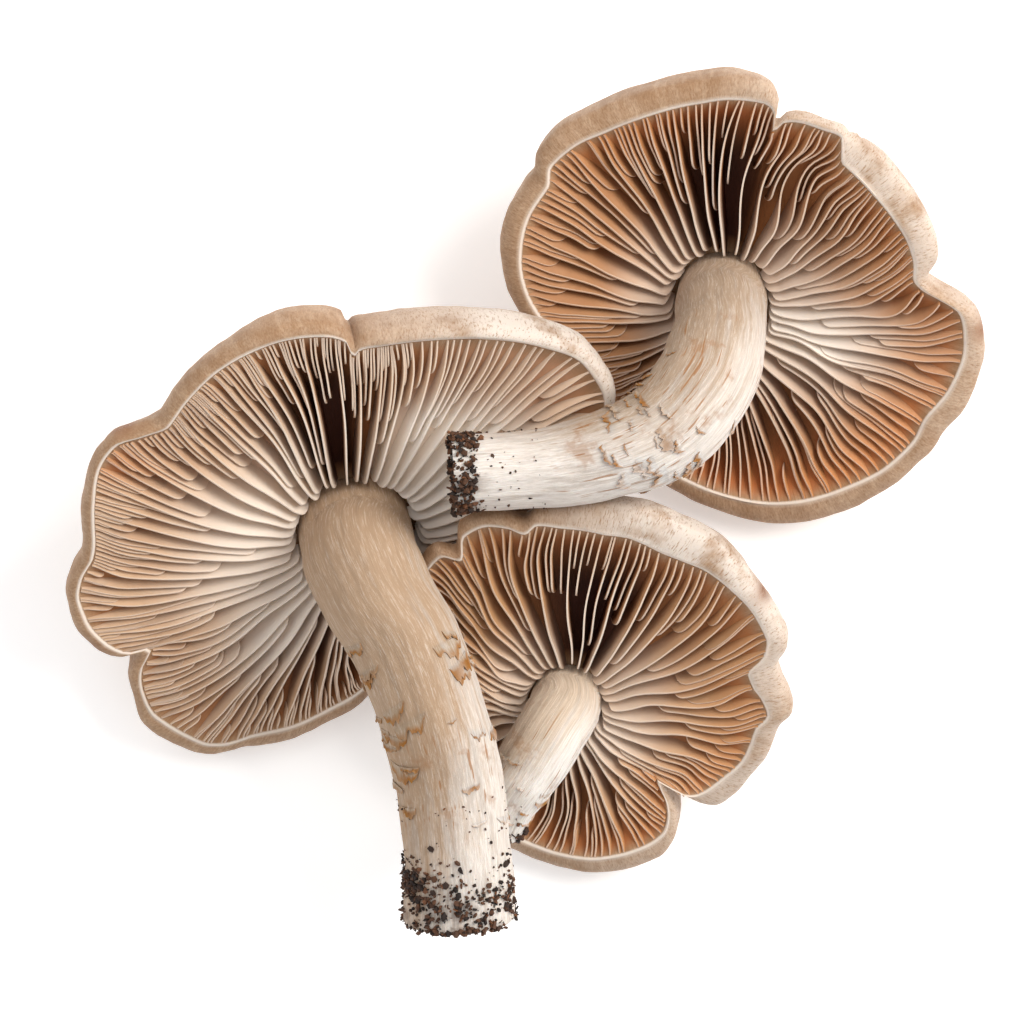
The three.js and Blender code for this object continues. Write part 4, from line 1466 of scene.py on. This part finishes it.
@dataclass(frozen=True)
class DampSoil:
    """Damp compost soil, in crumbs from black to reddish brown that shine a little."""

    black: str = "#21140D"
    brown: str = "#66422A"
    red: str = "#8F5A36"

    def material(self) -> bpy.types.Material:
        """Builds the soil's nodes."""
        finish = Finish("damp_soil")
        shade, warmth, _ = finish.read("crumb")
        noise = {"Vector": finish.place, "Scale": 1800.0, "Detail": 4.0, "Roughness": 0.7}
        fine = finish.add("TexNoise", noise)
        ranges = ((shade, 0.25, 0.9), (warmth, 0.75, 1.0), (fine, 0.65, 0.35))
        lighter, warmer, pitted = finish.masks(ranges)
        colour = finish.layers(
            self.black, ((self.brown, lighter), (self.red, warmer, 0.8), (self.black, pitted, 0.6))
        )
        return finish.shaded(colour, fine, 0.8, 0.3, {"Roughness": 0.7, "IOR": 1.45})


@dataclass(frozen=True)
class LightTable:
    """White acrylic of a photographer's table, matt and faintly uneven, lit a little from below."""

    white: str = "#FBFBFB"
    shade: str = "#F7F7F6"
    lit: float = 0.35

    def material(self) -> bpy.types.Material:
        """Builds the acrylic's nodes."""
        finish = Finish("white_acrylic_table")
        soft = finish.add("TexNoise", {"Vector": finish.place, "Scale": 3.0})
        colour = finish.layers(self.white, ((self.shade, soft),))
        gloss = {"Roughness": 0.9, "Emission Color": linear(self.white), "Emission Strength": self.lit}
        return finish.shaded(colour, soft, 0.02, 0.1, gloss)


@dataclass(frozen=True)
class Studio:
    """A pale floor, soft lights and a camera that looks straight down on the heap."""

    distance: float = 1500.0  # of the camera above its focus
    focus: float = 25.0  # height at which the picture's scale holds
    frame_width: float = PICTURE * SCALE
    sensor: float = 36.0
    lamp_colour: str = "#FFFAF4"
    # Name, place in metres, side and power of each light.
    lamps: tuple = (
        ("key_light", (0.62, 0.35, 0.7), 0.6, 10.5),
        ("fill_light", (-0.6, 0.3, 0.8), 0.8, 2.0),
    )
    sky: str = "#FCFCFF"
    sky_strength: float = 0.62

    def floor(self) -> None:
        """Adds the table that the heap lies on."""
        deselect()
        bpy.ops.mesh.primitive_plane_add(size=6, location=(0, 0, -0.0002))
        table = bpy.context.object
        table.name = "floor"
        table.data.materials.append(LightTable().material())

    def light(self, name: str, place: tuple, size: float, power: float) -> None:
        """Adds a square soft light that points at the heap's middle.

        Args:
            name: the light's name.
            place: where it hangs, in metres.
            size: its side in metres.
            power: its power in watts.
        """
        data = bpy.data.lights.new(name, "AREA")
        data.shape = "SQUARE"
        data.size = size
        data.energy = power
        data.color = linear(self.lamp_colour)[:3]
        lamp = bpy.data.objects.new(name, data)
        lamp.location = place
        way = -np.array(place)
        lamp.rotation_euler = (
            math.atan2(math.hypot(way[0], way[1]), -way[2]),
            0,
            math.atan2(way[1], way[0]) - math.pi / 2,
        )
        bpy.context.scene.collection.objects.link(lamp)

    def build(self) -> None:
        """Adds the floor, the lights, the pale surroundings and the camera."""
        scene = bpy.context.scene
        self.floor()
        for lamp in self.lamps:
            self.light(*lamp)
        world = bpy.data.worlds.new("pale_surroundings")
        world.use_nodes = True
        background = world.node_tree.nodes["Background"]
        background.inputs[0].default_value = linear(self.sky)
        background.inputs[1].default_value = self.sky_strength
        scene.world = world
        scene.view_settings.view_transform = "Standard"
        scene.view_settings.look = "None"
        data = bpy.data.cameras.new("camera")
        data.sensor_width = self.sensor
        data.lens = self.sensor * self.distance / self.frame_width
        data.clip_end = 20
        camera = bpy.data.objects.new("camera", data)
        camera.location = (HEAP_SHIFT[0] * MM, HEAP_SHIFT[1] * MM, (self.distance + self.focus) * MM)
        scene.collection.objects.link(camera)
        scene.camera = camera


def finish_piece(piece: bpy.types.Object, material: bpy.types.Material, slot: str, *nodes: str) -> None:
    """Gives a piece its finish and its body, and hides the solids that it stands for.

    Args:
        piece: the piece.
        material: its finish.
        slot: the part's material slot that the finish belongs to; not used.
        *nodes: the solids' nodes.
    """
    piece.data.materials.clear()
    piece.data.materials.append(material)
    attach(piece, "root")
    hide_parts(*nodes)
    triangles = sum(len(p.vertices) - 2 for p in piece.data.polygons)
    log.info("%s: %d triangles", piece.name, triangles)


def main() -> None:
    """Builds the three mushrooms and the studio."""
    logging.basicConfig(level=logging.INFO, format="%(message)s")
    skin = CapSkin().material()
    soil = DampSoil().material()
    for sizes in (LARGE, TALL, SMALL):
        gills = GillFlesh(f"mushroom_gill_flesh_{sizes.name}", sizes.face).material()
        stem_name = f"mushroom_stem_flesh_{sizes.name}"
        stem = StemFlesh(stem_name, sizes.tan, sizes.white, sizes.tan_range).material()
        finish_piece(Cap(sizes).build(), skin, "cap", f"cap_{sizes.name}")
        finish_piece(Gills(sizes).build(), gills, "cap", f"cap_{sizes.name}")
        finish_piece(Stem(sizes).build(), stem, "stem", f"stem_{sizes.name}")
        finish_piece(Soil(sizes).build(), soil, "soil", f"soil_{sizes.name}")
    Studio().build()


if __name__ == "__main__":
    main()
